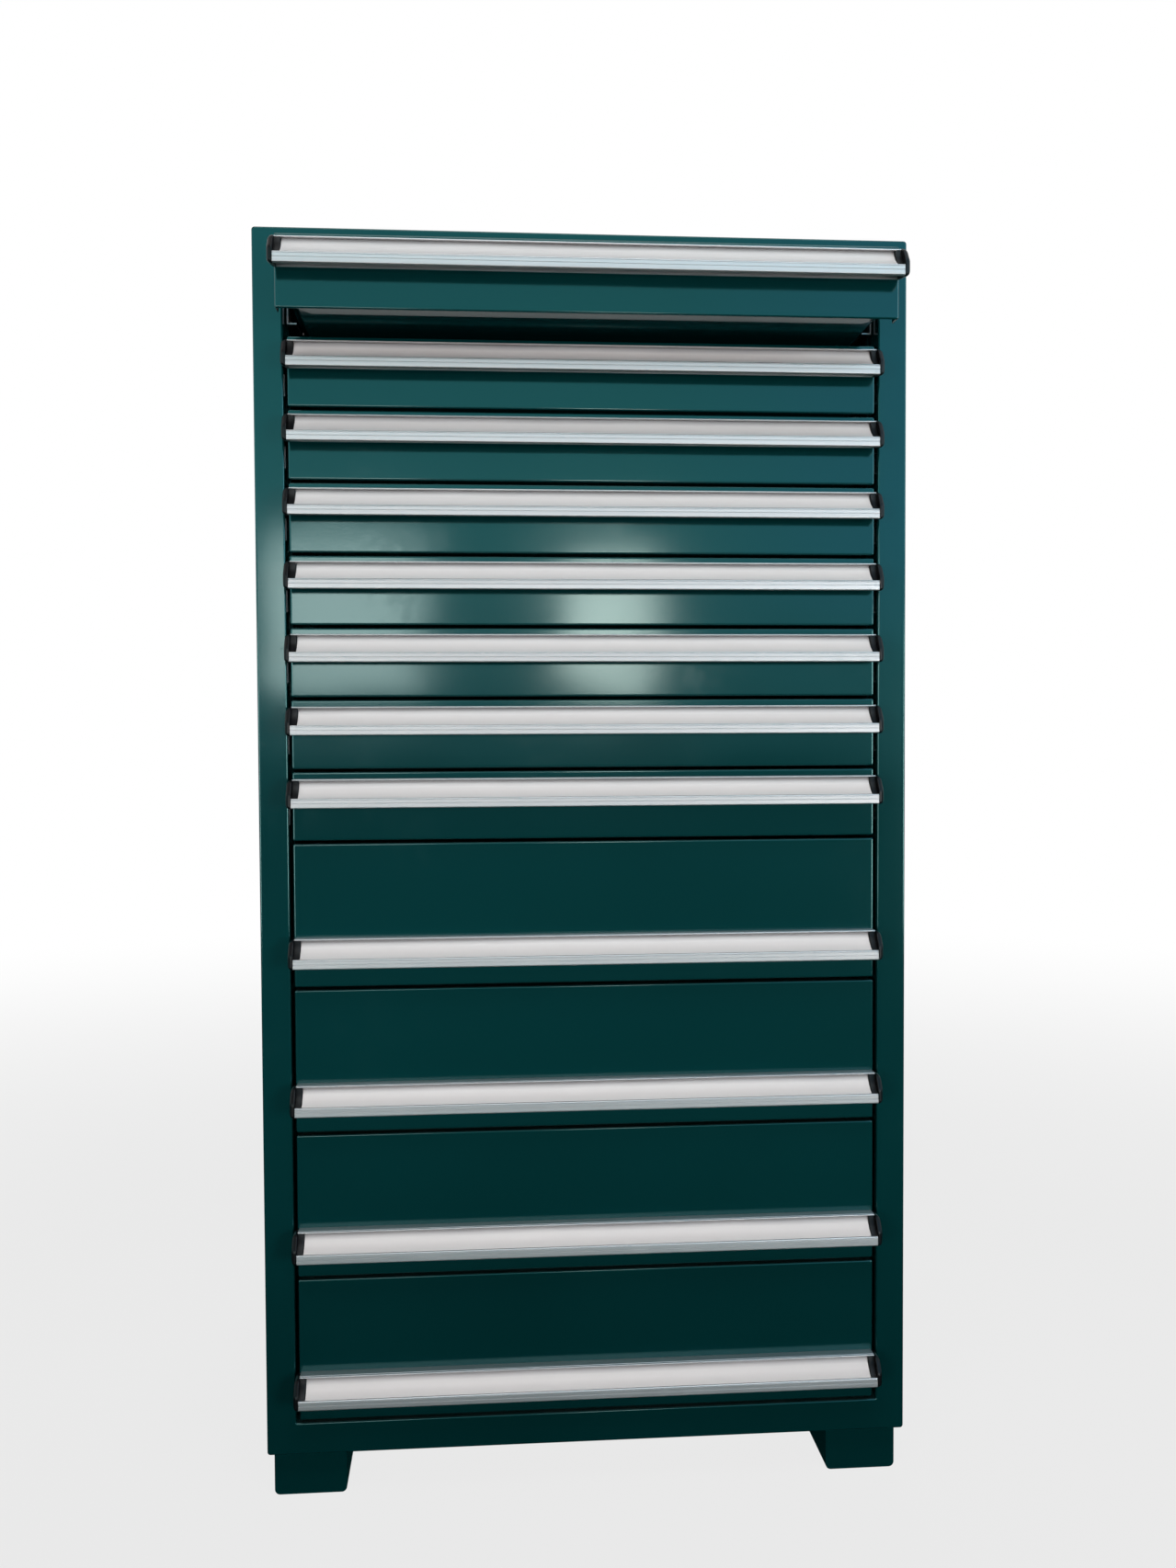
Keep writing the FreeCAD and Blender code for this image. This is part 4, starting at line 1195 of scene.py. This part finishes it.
# %% Lamps
def lamp(name, place, target, size, watts, colour, spread=180):
    """A rectangular area lamp at place that faces target; spread is its cone in degrees."""
    data = bpy.data.lights.new(name, "AREA")
    data.shape = "RECTANGLE"
    data.size, data.size_y = size
    data.energy = watts
    data.color = colour
    data.spread = math.radians(spread)
    ahead = np.array(target, float) - np.array(place, float)
    ahead /= np.linalg.norm(ahead)
    level = np.cross(ahead, (0, 0, 1))
    level /= np.linalg.norm(level)
    set_pose(new_object(name, data), [level, np.cross(level, ahead), -ahead], place)


SQUARE = (1.1, 1.1)
SIDE_Y = FRONT_Y - 1.3
SIDE_LEVEL = 1.95
SIDE_TARGET = (0.0, FRONT_Y, SIDE_LEVEL)
lamp("left_softbox", (-2.6, SIDE_Y, SIDE_LEVEL), SIDE_TARGET, SQUARE, 1.0, (0.9, 1.0, 1.0), 60)
lamp("right_softbox", (2.6, SIDE_Y, SIDE_LEVEL), SIDE_TARGET, SQUARE, 2.5, (0.7, 0.95, 1.0), 60)

WARM = (1.0, 0.95, 0.92)
LOW_Y = FRONT_Y - 3.0
LOW_LEVEL = 0.7
LOW_TARGET = (0.0, FRONT_Y, 0.9)
lamp("left_front", (-2.0, LOW_Y, LOW_LEVEL), LOW_TARGET, SQUARE, 8.4, WARM, 90)
lamp("right_front", (2.2, LOW_Y, LOW_LEVEL), LOW_TARGET, SQUARE, 13.4, WARM, 90)

lamp("ceiling", (0.0, FRONT_Y - 2.6, 5.0), (0.0, FRONT_Y, 0.8), (3.0, 1.6), 66, (0.95, 1.0, 1.0))
lamp("rear_fill", (0.6, 3.6, 2.0), (0.0, 0.4, 0.8), (2.0, 1.4), 60, (1.0, 0.99, 0.97))

WINDOW_Y = -3.8
lamp("middle_window", (0.345, WINDOW_Y, 1.255), (0.04, FRONT_Y, 1.0), (0.32, 0.47), 7.0, (1.0, 0.62, 0.57))
lamp("left_window", (-0.60, WINDOW_Y, 1.27), (-0.26, FRONT_Y, 1.0), (0.56, 0.54), 7.8, (1.0, 0.66, 0.63))

# %% [markdown]
# ## View
#
# The Standard view transform shows colours as they are written.

# %% View
bpy.context.scene.view_settings.view_transform = "Standard"
